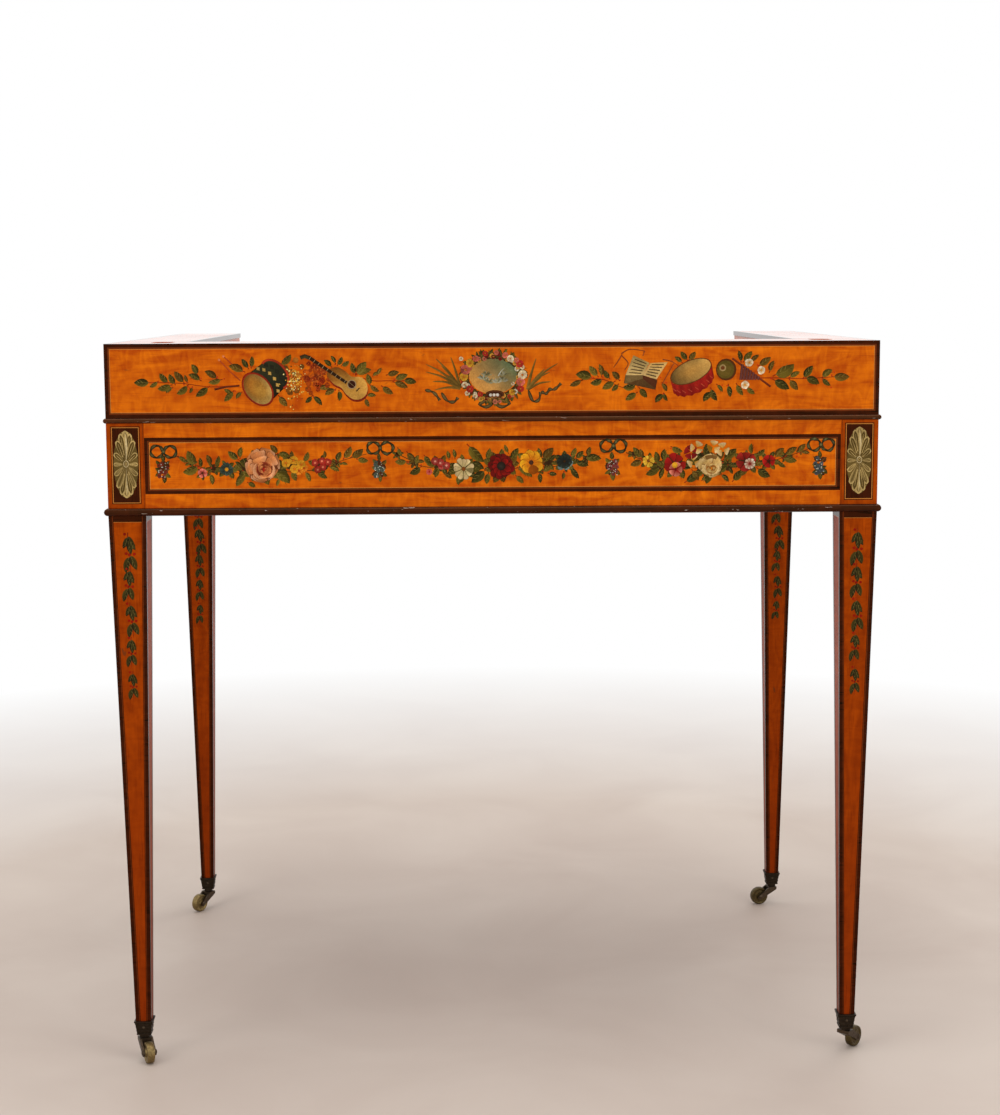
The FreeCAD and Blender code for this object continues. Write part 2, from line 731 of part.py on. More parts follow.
def handle_mounts(name, centre):
    """A back plate and the two drilled posts that hold the bail."""
    pieces = [canted_plate(name + "_plate", "plate_width", "plate_height", "plate_corner",
                           (centre, "-back_line", "handle_height"))]
    for side, sign in SIDES:
        middle = "%s + %d * (bail_span / 2 - post_inset)" % (centre, sign)
        pivot = "-back_line - post_reach"
        half = "post_head_width / 2"
        neck_half = "post_width / 2"
        neck = board("%s_neck_%s" % (name, side),
                     (middle + " - " + neck_half, middle + " + " + neck_half),
                     (pivot, "-back_line - plate_thickness"),
                     ("handle_height - " + neck_half, "handle_height + " + neck_half))
        head = board("%s_head_%s" % (name, side), (middle + " - " + half, middle + " + " + half),
                     (pivot + " - " + half, pivot + " + " + half),
                     ("handle_height - " + half, "handle_height + " + half))
        post = fuse("%s_cast_%s" % (name, side), [neck, head])
        drill = rod("%s_drill_%s" % (name, side), "bail_pin_radius + pin_clearance",
                    "post_head_width", (middle + " - " + half, pivot, "handle_height"), "x")
        pieces.append(cut("%s_post_%s" % (name, side), post, [drill]))
    return pieces


def bail(name, centre):
    """A swinging handle: an eight sided rod bent into a bar and two uprights, with round
    pins that turn inwards into the posts."""
    body = new_body(name + "_bar")
    half = "(bail_span / 2)"
    inner = "(bail_span / 2 - bail_corner)"
    low = "-bail_drop"
    bends = [(half, "bail_radius"), (half, low + " + bail_corner"), (inner, low)]
    path = open_line(new_sketch(body, "XZ_Plane"),
                     bends + [("-" + across, up) for across, up in bends[::-1]])
    flat = "(bail_radius * %g)" % OCTAGON_SHARE
    corners = [("bail_radius", "-" + flat), ("bail_radius", flat), (flat, "bail_radius"),
               ("-" + flat, "bail_radius"), ("-bail_radius", flat), ("-bail_radius", "-" + flat),
               ("-" + flat, "-bail_radius"), (flat, "-bail_radius")]
    section = [("%s + %s" % (half, across), along) for across, along in corners]
    bent = body.newObject("PartDesign::AdditivePipe", name + "_rod")
    bent.Profile = outline(new_sketch(body, "XY_Plane", "bail_radius"), section)
    bent.Spine = path
    bent.Transition = "Right corner"
    parts = [body]
    for side, sign in SIDES:
        start = "-" + half if sign < 0 else half + " - bail_pin_length"
        parts.append(rod("%s_pin_%s" % (name, side), "bail_pin_radius", "bail_pin_length",
                         (start, "0", "0"), "x"))
    whole = fuse(name, parts)
    return keep(place(whole, centre, "-back_line - post_reach", "handle_height"), name)


def small_drawer(name, across, face, back, knob_middle):
    """A drawer of the gallery: front, box and knob."""
    span = (across[0] + " + drawer_gap", across[1] + " - drawer_gap")
    up = ("desk_height + runner_gap", "gallery_board - drawer_gap")
    inside = face + " + small_front_thickness"
    sides = drawer_box(name + "_box", span, inside, back, (up[0], up[1] + " - small_side_drop"),
                       "small_side_thickness", "small_bottom_thickness",
                       (SMALL_TAILS, "small_front_thickness - dovetail_lap"))
    plank = board(name + "_plank", span, (face, inside), up)
    keep(cut(name + "_front", plank, sides), name + "_front")
    head = "-(knob_reach - knob_head_thickness)"
    points = [("0", "-knob_reach"), ("0", "0"), ("knob_neck_radius", "0"),
              ("knob_neck_radius", head), ("knob_radius", head), ("knob_radius", "-knob_reach")]
    knob = turning(name + "_knob", points[::-1])
    keep(place(knob, knob_middle, face, "(desk_height + gallery_board) / 2"), name + "_knob")


def make_drawers():
    side_drawer = ("divider_outside", "leg_side")
    frieze_drawer("frieze_drawer_centre", ("-centre_half", "centre_half"),
                  ("(-centre_bail_offset)", "centre_bail_offset"))
    for side, sign in SIDES:
        frieze_drawer("frieze_drawer_" + side, flip(side_drawer, sign), ("0",))
    bank_face = "bank_front"
    bank_back = "gallery_back_inside - small_drawer_rest"
    half = "bank_bay / 2"
    bays = {"centre": ("-" + half, half)}
    for side, sign in SIDES:
        bays[side] = flip((half + " + inner_wall", "wing_line"), sign)
    for place_name, bay in bays.items():
        middle = "((%s) + (%s)) / 2" % bay
        small_drawer("bank_drawer_" + place_name, bay, bank_face, bank_back, middle)
    for side, sign in SIDES:
        cell = flip(("wing_line + inner_wall", "gallery_inside"), sign)
        middle = "((%s) + (%s)) / 2" % cell
        small_drawer("wing_drawer_" + side, cell, "-back_line", "wing_end - small_drawer_rest",
                     middle)


# Castors

def make_castors(shafts):
    cups = []
    for end, end_sign in ENDS:
        for side, sign in SIDES:
            where = "%s_%s" % (end, side)
            centre = ("%d * leg_centre_x" % sign, "%d * leg_centre_y" % end_sign)
            cups.append(castor_cup(where, centre, shafts[end, side]))
            castor_fork(where, centre)
            castor_wheel(where, centre)
    keep(group("castor_cups", cups), "castor_cups")


def castor_cup(where, centre, shaft):
    """A square tapered socket with a thin rim, over a neck bored for the swivel pin."""
    name = "castor_cup_" + where
    socket = taper(name + "_socket", "cup_bottom_width", "foot_width + 2 * cup_wall",
                   "cup_bottom", "castor_height")
    half = "cup_rim_width / 2"
    rim = board(name + "_rim", ("-" + half, half), ("-" + half, half),
                ("castor_height - cup_rim_height", "castor_height"))
    neck = board(name + "_neck", ("-neck_half", "neck_half"), ("-neck_half", "neck_half"),
                 ("neck_bottom", "cup_bottom"))
    casting = fuse(name + "_casting", [socket, rim, neck])
    place(casting, *centre)
    bore = rod(name + "_bore", "swivel_pin_radius + pin_clearance", "neck_height + cup_floor",
               (centre[0], centre[1], "neck_bottom"))
    return cut(name, casting, [shaft, bore])


def castor_fork(where, centre):
    """A fork that trails behind its swivel pin, with the axle riveted into its two arms."""
    name = "castor_fork_" + where
    turn = "turn_" + where
    body = new_body(name + "_casting")
    left = "-neck_half"
    under = "crown_top - fork_crown_height"
    boss_low = "wheel_radius - fork_boss_radius"
    boss_back = "castor_trail + fork_boss_radius"
    points = [(left, under), ("castor_trail", boss_low, "fork_boss_radius"),
              (boss_back, "wheel_radius"), ("neck_half", "crown_top"), (left, "crown_top")]
    pad(body, outline(new_sketch(body, "XZ_Plane"), points), "fork_width", both_ways=True)
    near, far = "castor_trail - wheel_radius - wheel_room", "castor_trail + wheel_radius"
    wheel_space = outline(new_sketch(body, "XZ_Plane"),
                          [(near, "0"), (far, "0"), (far, "crown_top"), (near, "crown_top")])
    pocket(body, wheel_space, "slot_width_inside", both_ways=True)
    axle = round_outline(new_sketch(body, "XZ_Plane"), "castor_trail", "wheel_radius",
                         "axle_radius")
    pad(body, axle, "fork_width + 2 * axle_head", both_ways=True)
    pin = round_outline(new_sketch(body, "XY_Plane", "crown_top"), "0", "0", "swivel_pin_radius")
    pad(body, pin, "neck_height + cup_floor")
    keep(place(body, *centre, about="z", angle=turn), name)


def castor_wheel(where, centre):
    name = "castor_wheel_" + where
    turn = "turn_" + where
    half = "wheel_width / 2"
    bore = "axle_radius + pin_clearance"
    points = [(bore, "-" + half), ("wheel_radius", "-" + half), ("wheel_radius", half),
              (bore, half)]
    wheel = turning(name, points)
    place(wheel, "%s + castor_trail * cos(%s)" % (centre[0], turn),
          "%s + castor_trail * sin(%s)" % (centre[1], turn), "wheel_radius", "z", turn)
    keep(wheel, name)


def make_desk():
    rails = make_rails()
    make_inner_frame()
    shafts = make_legs(rails)
    make_mouldings()
    make_desk_top()
    make_gallery()
    make_drawers()
    make_castors(shafts)


make_desk()
doc.recompute()

for piece in doc.Objects:
    if "Invalid" in piece.State or "Error" in piece.State:
        raise RuntimeError("could not make " + piece.Label)
labels = [piece.Label for piece in nodes]
if len(set(labels)) != len(labels):
    raise RuntimeError("two sub-parts share a name")
for piece in nodes:
    if piece.Shape.isNull() or not piece.Shape.isValid() or not piece.Shape.Solids:
        raise RuntimeError("no sound shape for " + piece.Label)

os.makedirs("parts", exist_ok=True)
for piece in nodes:
    piece.Shape.exportStep("parts/%s.step" % piece.Label)
print("sub-parts written:", len(nodes))
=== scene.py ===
import json
import math
import random
from math import cos, pi, sin, tau

import bmesh
import bpy
from mathutils import Matrix, Vector

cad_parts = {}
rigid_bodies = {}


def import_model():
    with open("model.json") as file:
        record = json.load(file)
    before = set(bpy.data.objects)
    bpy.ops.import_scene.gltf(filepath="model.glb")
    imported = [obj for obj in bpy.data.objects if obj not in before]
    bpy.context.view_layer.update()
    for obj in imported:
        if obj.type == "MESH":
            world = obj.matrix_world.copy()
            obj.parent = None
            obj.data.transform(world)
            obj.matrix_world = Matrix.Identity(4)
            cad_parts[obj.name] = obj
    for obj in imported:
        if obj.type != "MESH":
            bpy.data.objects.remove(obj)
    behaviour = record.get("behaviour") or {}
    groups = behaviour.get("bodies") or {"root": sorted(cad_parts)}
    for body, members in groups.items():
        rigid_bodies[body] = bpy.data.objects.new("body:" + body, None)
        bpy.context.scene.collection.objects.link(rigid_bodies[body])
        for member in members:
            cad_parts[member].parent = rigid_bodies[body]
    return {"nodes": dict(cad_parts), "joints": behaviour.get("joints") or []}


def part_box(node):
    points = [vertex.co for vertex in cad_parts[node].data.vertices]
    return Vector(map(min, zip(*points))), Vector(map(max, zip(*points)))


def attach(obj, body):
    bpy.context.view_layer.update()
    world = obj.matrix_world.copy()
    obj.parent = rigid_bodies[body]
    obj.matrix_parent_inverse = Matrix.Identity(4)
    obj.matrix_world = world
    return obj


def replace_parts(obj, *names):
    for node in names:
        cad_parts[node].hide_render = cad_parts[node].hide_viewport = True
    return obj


bl_info = {
    "name": "Carlton house desk",
    "version": (1, 0, 0),
    "blender": (4, 5, 0),
    "location": "3D View > Sidebar > Desk",
    "description": "Veneers, inlay, painted flowers, leather and brasses of a carlton house desk",
    "category": "Object",
}

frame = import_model()
NODES = frame["nodes"]
JOINTS = {joint["name"]: joint for joint in frame["joints"]}
MM = 0.001
BLACK, WHITE = (0, 0, 0), (1, 1, 1)
# the four corners, with the signs of their X and Y
CORNERS = {end + "_" + side: (x, y) for end, y in (("front", -1), ("back", 1))
           for side, x in (("left", -1), ("right", 1))}


def line_of(name, corner, axis):
    """Where a part's lowest (0) or highest (1) corner is along an axis, in millimetres."""
    return round(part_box(name)[corner][axis] / MM, 1)


CASE_HALF = line_of("gallery_back", 1, 0)
BACK_LINE = line_of("gallery_back", 1, 1)
TOP_LINE = line_of("gallery_top", 1, 2)
DESK_LINE = line_of("desk_top", 1, 2)
WAIST_LINE = line_of("back_rail", 1, 2)
CASE_BOTTOM = line_of("back_rail", 0, 2)
MOULDING_TOP = line_of("base_moulding", 1, 2)
FOOT_LINE = line_of("castor_cups", 1, 2)
LEG_WIDTH, FOOT_WIDTH = 44.0, 18.3
LEG_LENGTH = math.hypot(CASE_BOTTOM - FOOT_LINE, (LEG_WIDTH - FOOT_WIDTH) / 2)


def tint(*seen):
    """A colour as it is seen, 0 to 255, in the values that the shaders use."""
    shares = [value / 255 for value in seen]
    return tuple(s / 12.92 if s <= 0.04045 else ((s + 0.055) / 1.055) ** 2.4 for s in shares)


def between(first, last, share):
    """A value, a colour or a point part of the way from the first to the last."""
    if isinstance(first, (int, float)):
        return first + (last - first) * share
    return tuple(a + (b - a) * share for a, b in zip(first, last))


def scaled(shade, factor):
    """A colour made darker or lighter, with its hue kept."""
    return tuple(min(value * factor, 1) for value in shade)


def solid(rgb):
    return (*rgb, 1.0)


def oval(at, wide, tall, angle, turn=0.0):
    """The point at an angle on an oval, which may be turned about its middle."""
    x, y = wide * cos(angle), tall * sin(angle)
    return at[0] + x * cos(turn) - y * sin(turn), at[1] + x * sin(turn) + y * cos(turn)


def angles(count, start=0.0, sweep=tau):
    """Even steps through a sweep, with both its ends."""
    return [start + sweep * k / count for k in range(count + 1)]


# Sizes and colours that a user would change

def length(name, words, default):
    return bpy.props.FloatProperty(name=name, description=words, default=default * MM, min=0,
                                   unit="LENGTH", precision=4)


def number(name, words, default):
    return bpy.props.IntProperty(name=name, description=words, default=default, min=2)


def colour(name, words, *seen):
    return bpy.props.FloatVectorProperty(name=name, description=words, default=tint(*seen),
                                         size=3, min=0, max=1, subtype="COLOR")


class DeskSizes(bpy.types.PropertyGroup):
    banding: length("Banding width", "Width of the dark crossbanding", 4.6)
    line: length("Stringing width", "Width of the lines beside the banding", 0.8)
    relief: length("Inlay height", "How far the veneer strips stand over the wood", 0.1)
    brush: length("Paint thickness", "How far one layer of paint stands over the next", 0.03)
    husk_start: length("Husk start", "Distance of the first husk below the frieze", 24)
    husk_run: length("Husk run", "Length of each trail of husks on a leg", 164)
    husks: number("Husks", "Leaf groups in each trail", 10)
    leather_border: length("Leather border", "Distance of the gilt lines from the edge", 16)
    stamps: number("Border stamps", "Gilt stamps round the leather", 168)
    beads: number("Plate beads", "Beads round each handle plate", 64)


class DeskColours(bpy.types.PropertyGroup):
    satin_light: colour("Satinwood figure", "Light parts of the satinwood", 236, 121, 8)
    satin_dark: colour("Satinwood ground", "Dark parts of the satinwood", 176, 63, 0)
    # painted shade on the legs: the colour that their wood darkens to near the floor
    satin_foot_shade: colour("Satinwood foot", "Satinwood near the floor", 146, 50, 4)
    rosewood: colour("Banding", "Dark crossbanding and mouldings", 50, 14, 4)
    reddish: colour("Inner banding", "The redder line inside the bandings", 112, 44, 12)
    boxwood: colour("Stringing", "Light lines", 226, 146, 66)
    carcase: colour("Carcase wood", "Drawer linings, runners and blocks", 168, 100, 44)
    hide: colour("Leather", "The writing surface", 38, 62, 42)
    gilt: colour("Gilding", "Gold tooling on the leather", 205, 160, 75)
    brass: colour("Brass", "Handles and knobs", 212, 160, 76)
    wheel: colour("Wheel brass", "Worn brass of the castor wheels", 150, 128, 84)
    bronze: colour("Dark bronze", "Castor sockets and forks", 88, 74, 60)


def sizes():
    return bpy.context.scene.desk_sizes


# Shading

def feed(made, inputs):
    """Give a node's inputs their values, or link them to what feeds them."""
    for key, value in inputs.items():
        value = getattr(value, "socket", value)
        if isinstance(value, bpy.types.NodeSocket):
            made.id_data.links.new(value, made.inputs[key])
        else:
            made.inputs[key].default_value = value


def node(tree, kind, inputs=None, **settings):
    """Add a node with its settings and inputs."""
    made = tree.nodes.new(kind)
    for setting, value in settings.items():
        setattr(made, setting, value)
    feed(made, inputs or {})
    return made


class Number:
    """A number that changes over a surface, and the sums that shaders do with it."""

    def __init__(self, socket):
        self.socket = socket

    def sum(self, operation, other=0.0):
        made = node(self.socket.id_data, "ShaderNodeMath", {0: self, 1: other},
                    operation=operation)
        return Number(made.outputs[0])

    def __add__(self, other):
        return self.sum("ADD", other)

    def __sub__(self, other):
        return self.sum("SUBTRACT", other)

    def __rsub__(self, other):
        return self * -1.0 + other

    def __mul__(self, other):
        return self.sum("MULTIPLY", other)

    def remap(self, low, high, to_low=0.0, to_high=1.0):
        made = node(self.socket.id_data, "ShaderNodeMapRange", {
            "Value": self, "From Min": low, "From Max": high, "To Min": to_low,
            "To Max": to_high})
        return Number(made.outputs[0])

    def mix(self, first, second, blend="MIX"):
        """The first colour where the number is 0 and the second where it is 1."""
        return node(self.socket.id_data, "ShaderNodeMix", {0: self, 6: first, 7: second},
                    data_type="RGBA", blend_type=blend).outputs[2]


def noise(vector, stretch, detail=3.0, distortion=0.0):
    """Noise on coordinates that are stretched by one scale, or by one for each axis."""
    stretch = stretch if isinstance(stretch, tuple) else (stretch,) * 3
    tree = vector.id_data
    wide = node(tree, "ShaderNodeVectorMath", {0: vector, 1: stretch}, operation="MULTIPLY")
    made = node(tree, "ShaderNodeTexNoise", {"Vector": wide.outputs[0], "Scale": 1.0,
                                             "Detail": detail, "Distortion": distortion})
    return Number(made.outputs[0])


def axes(place):
    made = node(place.id_data, "ShaderNodeSeparateXYZ", {0: place})
    return [Number(socket) for socket in made.outputs]


GROUPS = {}
MATERIALS = {}


def new_group(name, inputs, outputs):
    """A shader node group with named sockets. An input without a default is a vector."""
    tree = GROUPS[name] = bpy.data.node_groups.new(name, "ShaderNodeTree")
    kinds = {tuple: "NodeSocketColor", float: "NodeSocketFloat", type(None): "NodeSocketVector"}
    for label, default in inputs.items():
        socket = tree.interface.new_socket(label, in_out="INPUT",
                                           socket_type=kinds[type(default)])
        if default is not None:
            socket.default_value = default
    for label in outputs:
        kind = kinds[tuple if label == "Color" else float]
        tree.interface.new_socket(label, in_out="OUTPUT", socket_type=kind)
    return tree.nodes.new("NodeGroupInput").outputs, tree.nodes.new("NodeGroupOutput")


def make_wood_group():
    """Grain, growth bands, cross mottle and pores. X of the vector runs along the grain."""
    given, out = new_group("wood figure", {
        "Vector": None, "Light": solid(WHITE), "Dark": solid(BLACK), "Mottle": 1.0,
        "Pores": 0.5}, ("Color", "Height"))
    vector = given["Vector"]
    broad = noise(vector, (13, 40, 40), 2, 2.2).remap(0.36, 0.64)
    flame = noise(vector, (75, 26, 26), 3, 1.8).remap(0.38, 0.66)
    bands = noise(vector, (2.2, 60, 60), 3, 0.6).remap(0.3, 0.7)
    fibres = noise(vector, (14, 420, 420), 3)
    shimmer = (broad * 0.6 + flame * 0.4) * given["Mottle"]
    body = (shimmer * 0.85 + bands * 0.2 + fibres * 0.22 - 0.1).mix(given["Dark"],
                                                                    given["Light"])
    pores = noise(vector, (26, 760, 760), 1).remap(0.6, 0.7) * given["Pores"]
    feed(out, {"Color": pores.mix(body, given["Dark"], "MULTIPLY"), "Height": fibres - pores})


def make_polish_group():
    """Old shellac: uneven gloss, fine scratches, and small dark marks and knocks."""
    given, out = new_group("old polish", {
        "Vector": None, "Color": solid(WHITE), "Gloss": 0.25, "Marks": 0.5},
        ("Color", "Roughness", "Height"))
    vector = given["Vector"]
    cloud = noise(vector, 9, 3)
    scratch = noise(vector, (30, 900, 900), 1, 2.0).remap(0.66, 0.7)
    knock = noise(vector, (34, 120, 120), 2, 0.4).remap(0.71, 0.76) * given["Marks"]
    aged = cloud.remap(0.35, 0.75, 0.0, 0.35).mix(given["Color"], (0.62, 0.42, 0.25, 1),
                                                  "MULTIPLY")
    feed(out, {"Color": knock.mix(aged, (0.09, 0.03, 0.01, 1)), "Height": scratch,
               "Roughness": cloud * 0.16 + given["Gloss"] + scratch * 0.15})


def make_banding_group():
    """A dark band and a light line along an edge, from the distance to that edge in metres."""
    given, out = new_group("edge banding", {
        "Color": solid(WHITE), "Distance": 1.0, "Banding": solid(BLACK), "Line": solid(WHITE),
        "Width": 0.004, "Line width": 0.001}, ("Color",))
    distance, width = Number(given["Distance"]), Number(given["Width"])
    in_line = distance.sum("LESS_THAN", width + given["Line width"])
    lined = in_line.mix(given["Color"], given["Line"])
    feed(out, {"Color": distance.sum("LESS_THAN", width).mix(lined, given["Banding"])})


def make_metal_group():
    """Tarnish in the hollows of a noise, with brighter rubbed places."""
    given, out = new_group("old metal", {
        "Vector": None, "Metal": solid(WHITE), "Tarnish": solid(BLACK), "Amount": 0.5,
        "Rough": 0.3}, ("Color", "Roughness", "Height"))
    amount = noise(given["Vector"], 330, 5, 1.2).remap(0.3, 0.8) * given["Amount"]
    feed(out, {"Color": amount.mix(given["Metal"], given["Tarnish"]),
               "Roughness": amount * 0.3 + given["Rough"],
               "Height": noise(given["Vector"], 1400, 2)})


def use_group(tree, name, inputs):
    return node(tree, "ShaderNodeGroup", inputs, node_tree=GROUPS[name]).outputs


def new_material(name, **settings):
    """A material's tree, its shader with the numbers that are the same all over, and the
    coordinates on the piece."""
    material = MATERIALS[name] = bpy.data.materials.new(name)
    material.use_nodes = True
    tree = material.node_tree
    shader = tree.nodes["Principled BSDF"]
    for socket, value in settings.items():
        shader.inputs[socket.replace("_", " ")].default_value = value
    return tree, shader, node(tree, "ShaderNodeTexCoord").outputs["Object"]


def cover(shader, shade, roughness, height, strength, distance):
    """Feed a shader its colour, its roughness and the height of its bumps."""
    bump = node(shader.id_data, "ShaderNodeBump", {"Height": height, "Strength": strength,
                                                   "Distance": distance})
    feed(shader, {"Base Color": shade, "Roughness": roughness, "Normal": bump.outputs[0]})


GRAIN_TURNS = {"x": (0, 0, 0), "y": (0, 0, -pi / 2), "z": (0, pi / 2, 0)}


def wood_material(name, grain, light, dark, foot=None, pores=0.28, mottle=1.0, gloss=0.2,
                  marks=0.6, edge=None, chips=0.0, gleam=1.34, bump=0.12):
    """Polished wood whose grain runs along one axis. The edge function, if given, makes the
    distance to the nearest banded edge."""
    tree, shader, place = new_material(name, IOR=gleam, Specular_Tint=(1.0, 0.5, 0.2, 1.0))
    turned = node(tree, "ShaderNodeMapping", {"Vector": place, "Rotation": GRAIN_TURNS[grain]})
    along = turned.outputs[0]
    light, dark = solid(light), solid(dark)
    # painted shade: with a foot colour, the wood is darkened towards the floor, below 0.62 m
    if foot:
        rise = axes(place)[2].remap(0.02, 0.62)
        light = rise.mix(solid(foot), light)
        dark = rise.mix(solid(scaled(foot, 0.75)), dark)
    wood = use_group(tree, "wood figure", {
        "Vector": along, "Light": light, "Dark": dark, "Mottle": mottle, "Pores": pores})
    shade = wood["Color"]
    if edge:
        pick = bpy.context.scene.desk_colours
        shade = use_group(tree, "edge banding", {
            "Color": shade, "Distance": edge(place), "Banding": solid(pick.rosewood),
            "Line": solid(pick.boxwood), "Width": sizes().banding,
            "Line width": sizes().line})[0]
    polish = use_group(tree, "old polish", {"Vector": along, "Color": shade, "Gloss": gloss,
                                            "Marks": marks})
    shade = polish["Color"]
    if chips:
        chipped = noise(along, (90, 420, 420), 3, 0.5).remap(0.69, 0.71, 0.0, chips)
        shade = chipped.mix(shade, solid(tint(206, 186, 172)))
    height = Number(polish["Height"]) * -0.5 + wood["Height"]
    cover(shader, shade, polish["Roughness"], height, bump, 0.0002)


# from the back of the bank and from the outside of the wings' inner walls to the inner edges
BANK_DEPTH, WALL_DEPTH = 89.5, 9.5


def gallery_edge(place):
    """Distance from the nearest outer or inner edge of the gallery's top boards."""
    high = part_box("gallery_top")[1]
    bank_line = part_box("gallery_partitions")[1].y - BANK_DEPTH * MM
    wing_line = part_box("gallery_inner_walls")[1].x - WALL_DEPTH * MM
    x, y, _ = axes(place)
    across = x.sum("ABSOLUTE")
    outer = (high.x - across).sum("MINIMUM", high.y - y.sum("ABSOLUTE"))
    inner = (across - wing_line).sum("MAXIMUM", y - bank_line)
    return outer.sum("MINIMUM", inner)


def leather_edge(place):
    """Distance outwards from the edge of the leather."""
    low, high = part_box("writing_leather")
    middle, half = (low + high) / 2, (high - low) / 2
    x, y, _ = axes(place)
    along = (y - middle.y).sum("ABSOLUTE") - half.y
    return (x.sum("ABSOLUTE") - half.x).sum("MAXIMUM", along)


def leather_material(hide):
    tree, shader, place = new_material("tooled leather", IOR=1.24)
    cells = node(tree, "ShaderNodeTexVoronoi", {"Vector": place, "Scale": 900.0},
                 feature="DISTANCE_TO_EDGE")
    grain = Number(cells.outputs["Distance"]).remap(0.0, 0.22)
    cloud = noise(place, 7, 4, 0.4)
    rubbed = noise(place, 3, 2).remap(0.45, 0.75) * 0.35
    base = cloud.remap(0.3, 0.7).mix(solid(scaled(hide, 0.65)),
                                     solid(between(hide, tint(96, 104, 72), 0.3)))
    worn = rubbed.mix(base, solid(tint(104, 100, 66)))
    cover(shader, grain.mix(solid(scaled(hide, 0.4)), worn), cloud.remap(0.2, 0.8, 0.38, 0.58),
          grain, 0.35, 0.0003)


def metal_material(name, metal, tarnish, amount, rough):
    tree, shader, place = new_material(name, Metallic=1.0)
    old = use_group(tree, "old metal", {"Vector": place, "Metal": solid(metal),
                                        "Tarnish": solid(tarnish), "Amount": amount,
                                        "Rough": rough})
    cover(shader, old["Color"], old["Roughness"], old["Height"], 0.15, 0.0001)


def paint_material():
    """Oil paint under varnish: the strokes' own colours, broken by the brush and by age."""
    tree, shader, place = new_material("flower paint", IOR=1.25,
                                       Specular_Tint=(1.0, 0.7, 0.4, 1.0))
    own = node(tree, "ShaderNodeAttribute", attribute_name="paint").outputs["Color"]
    brush = noise(place, 420, 3, 1.5)
    broken = brush.remap(0.3, 0.72, 0.0, 0.5).mix(own, (0.3, 0.2, 0.1, 1), "MULTIPLY")
    patches = noise(place, 60, 2).remap(0.35, 0.7, 0.75, 1.2)
    lit = node(tree, "ShaderNodeMix", {0: 1.0, 6: broken, 7: patches}, data_type="RGBA",
               blend_type="MULTIPLY").outputs[2]
    cover(shader, lit, brush.remap(0.3, 0.7, 0.28, 0.5), brush, 0.3, 0.0002)


def make_materials():
    for make in (make_wood_group, make_polish_group, make_banding_group, make_metal_group):
        make()
    pick = bpy.context.scene.desk_colours
    light, dark, rose, box, case, brass, wheel, bronze, gilt = (tuple(value) for value in (
        pick.satin_light, pick.satin_dark, pick.rosewood, pick.boxwood, pick.carcase,
        pick.brass, pick.wheel, pick.bronze, pick.gilt))
    rose_pair = between(rose, tint(110, 44, 18), 0.4), scaled(rose, 0.6)
    dense = {"pores": 0.9, "mottle": 0.5, "marks": 0.3}
    for axis in "xyz":
        wood_material("satinwood_" + axis, axis, light, dark)
        wood_material("rosewood_" + axis, axis, *rose_pair, gleam=1.22, **dense)
    for name, chips, gleam in (("waist moulding", 0.35, 1.5), ("base moulding", 0.75, 1.34)):
        wood_material(name, "x", *rose_pair, chips=chips, gloss=0.1, gleam=gleam, **dense)
    wood_material("reddish", "x", scaled(pick.reddish, 1.4), scaled(pick.reddish, 0.6),
                  mottle=0.5)
    # the legs' satinwood, with painted shade towards the floor
    wood_material("satinwood_leg", "z", between(scaled(light, 0.62), tint(178, 56, 0), 0.6),
                  scaled(dark, 0.6), foot=pick.satin_foot_shade, gloss=0.4, gleam=1.24)
    wood_material("satinwood_top", "x", light, dark, edge=gallery_edge, gloss=0.0, gleam=1.5,
                  bump=0.03)
    wood_material("satinwood_desk", "x", light, dark, edge=leather_edge)
    wood_material("boxwood", "x", box, scaled(box, 0.8), mottle=0.4, marks=0.3)
    for axis in "xy":
        wood_material("carcase_" + axis, axis, between(case, WHITE, 0.12), scaled(case, 0.65),
                      pores=0.8, mottle=0.5, gloss=0.55, gleam=1.2)
    leather_material(tuple(pick.hide))
    metal_material("brass", brass, between(brass, tint(84, 52, 20), 0.7), 0.6, 0.2)
    metal_material("wheel brass", wheel, scaled(wheel, 0.25), 0.85, 0.4)
    metal_material("dark bronze", bronze, scaled(bronze, 0.4), 0.8, 0.34)
    metal_material("socket bronze", scaled(bronze, 0.45), scaled(bronze, 0.12), 0.8, 0.4)
    # a darkened copy of the wheel brass: painted shade for the wheels at the left corners
    metal_material("dark wheel", scaled(wheel, 0.4), scaled(bronze, 0.2), 0.8, 0.4)
    metal_material("gilding", gilt, between(gilt, tint(90, 60, 20), 0.6), 0.6, 0.4)
    paint_material()


# Making pieces

def dress(material, *names):
    """Give CAD parts a finish."""
    for name in names:
        piece = NODES[name]
        if not piece.material_slots:
            piece.data.materials.append(None)
        for slot in piece.material_slots:
            slot.material = MATERIALS[material]


def nodes_ending(word):
    return [name for name in NODES if name.endswith(word)]


def add_object(name, data):
    made = bpy.data.objects.new(name, data)
    bpy.context.scene.collection.objects.link(made)
    return made


def new_piece(name, mesh, material, body="root"):
    """A finished mesh as a piece of the desk."""
    mesh.materials.clear()
    mesh.materials.append(MATERIALS[material])
    piece = add_object(name, mesh)
    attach(piece, body)
    return piece


def new_mesh(name, points, faces, edges=()):
    mesh = bpy.data.meshes.new(name)
    mesh.from_pydata(points, edges, faces)
    return mesh


def joined(name, meshes):
    """One mesh out of several, with their paint."""
    work = bmesh.new()
    for mesh in meshes:
        work.from_mesh(mesh)
    made = bpy.data.meshes.new(name)
    work.to_mesh(made)
    work.free()
    return made


class Face:
    """A flat face of the desk, measured in millimetres across and up from a point on it."""

    def __init__(self, origin, across, up=(0, 0, 1)):
        self.origin = Vector(origin) * MM
        self.across = Vector(across).normalized()
        self.up = Vector(up).normalized()
        self.out = self.across.cross(self.up)

    def at(self, across, up, lift=0.0):
        return self.origin + (self.across * across + self.up * up) * MM + self.out * lift

    def path(self, line, closed=False):
        """A line on the face, as motifs follow it."""
        return [self.at(*point) for point in line], closed, tuple(self.out)


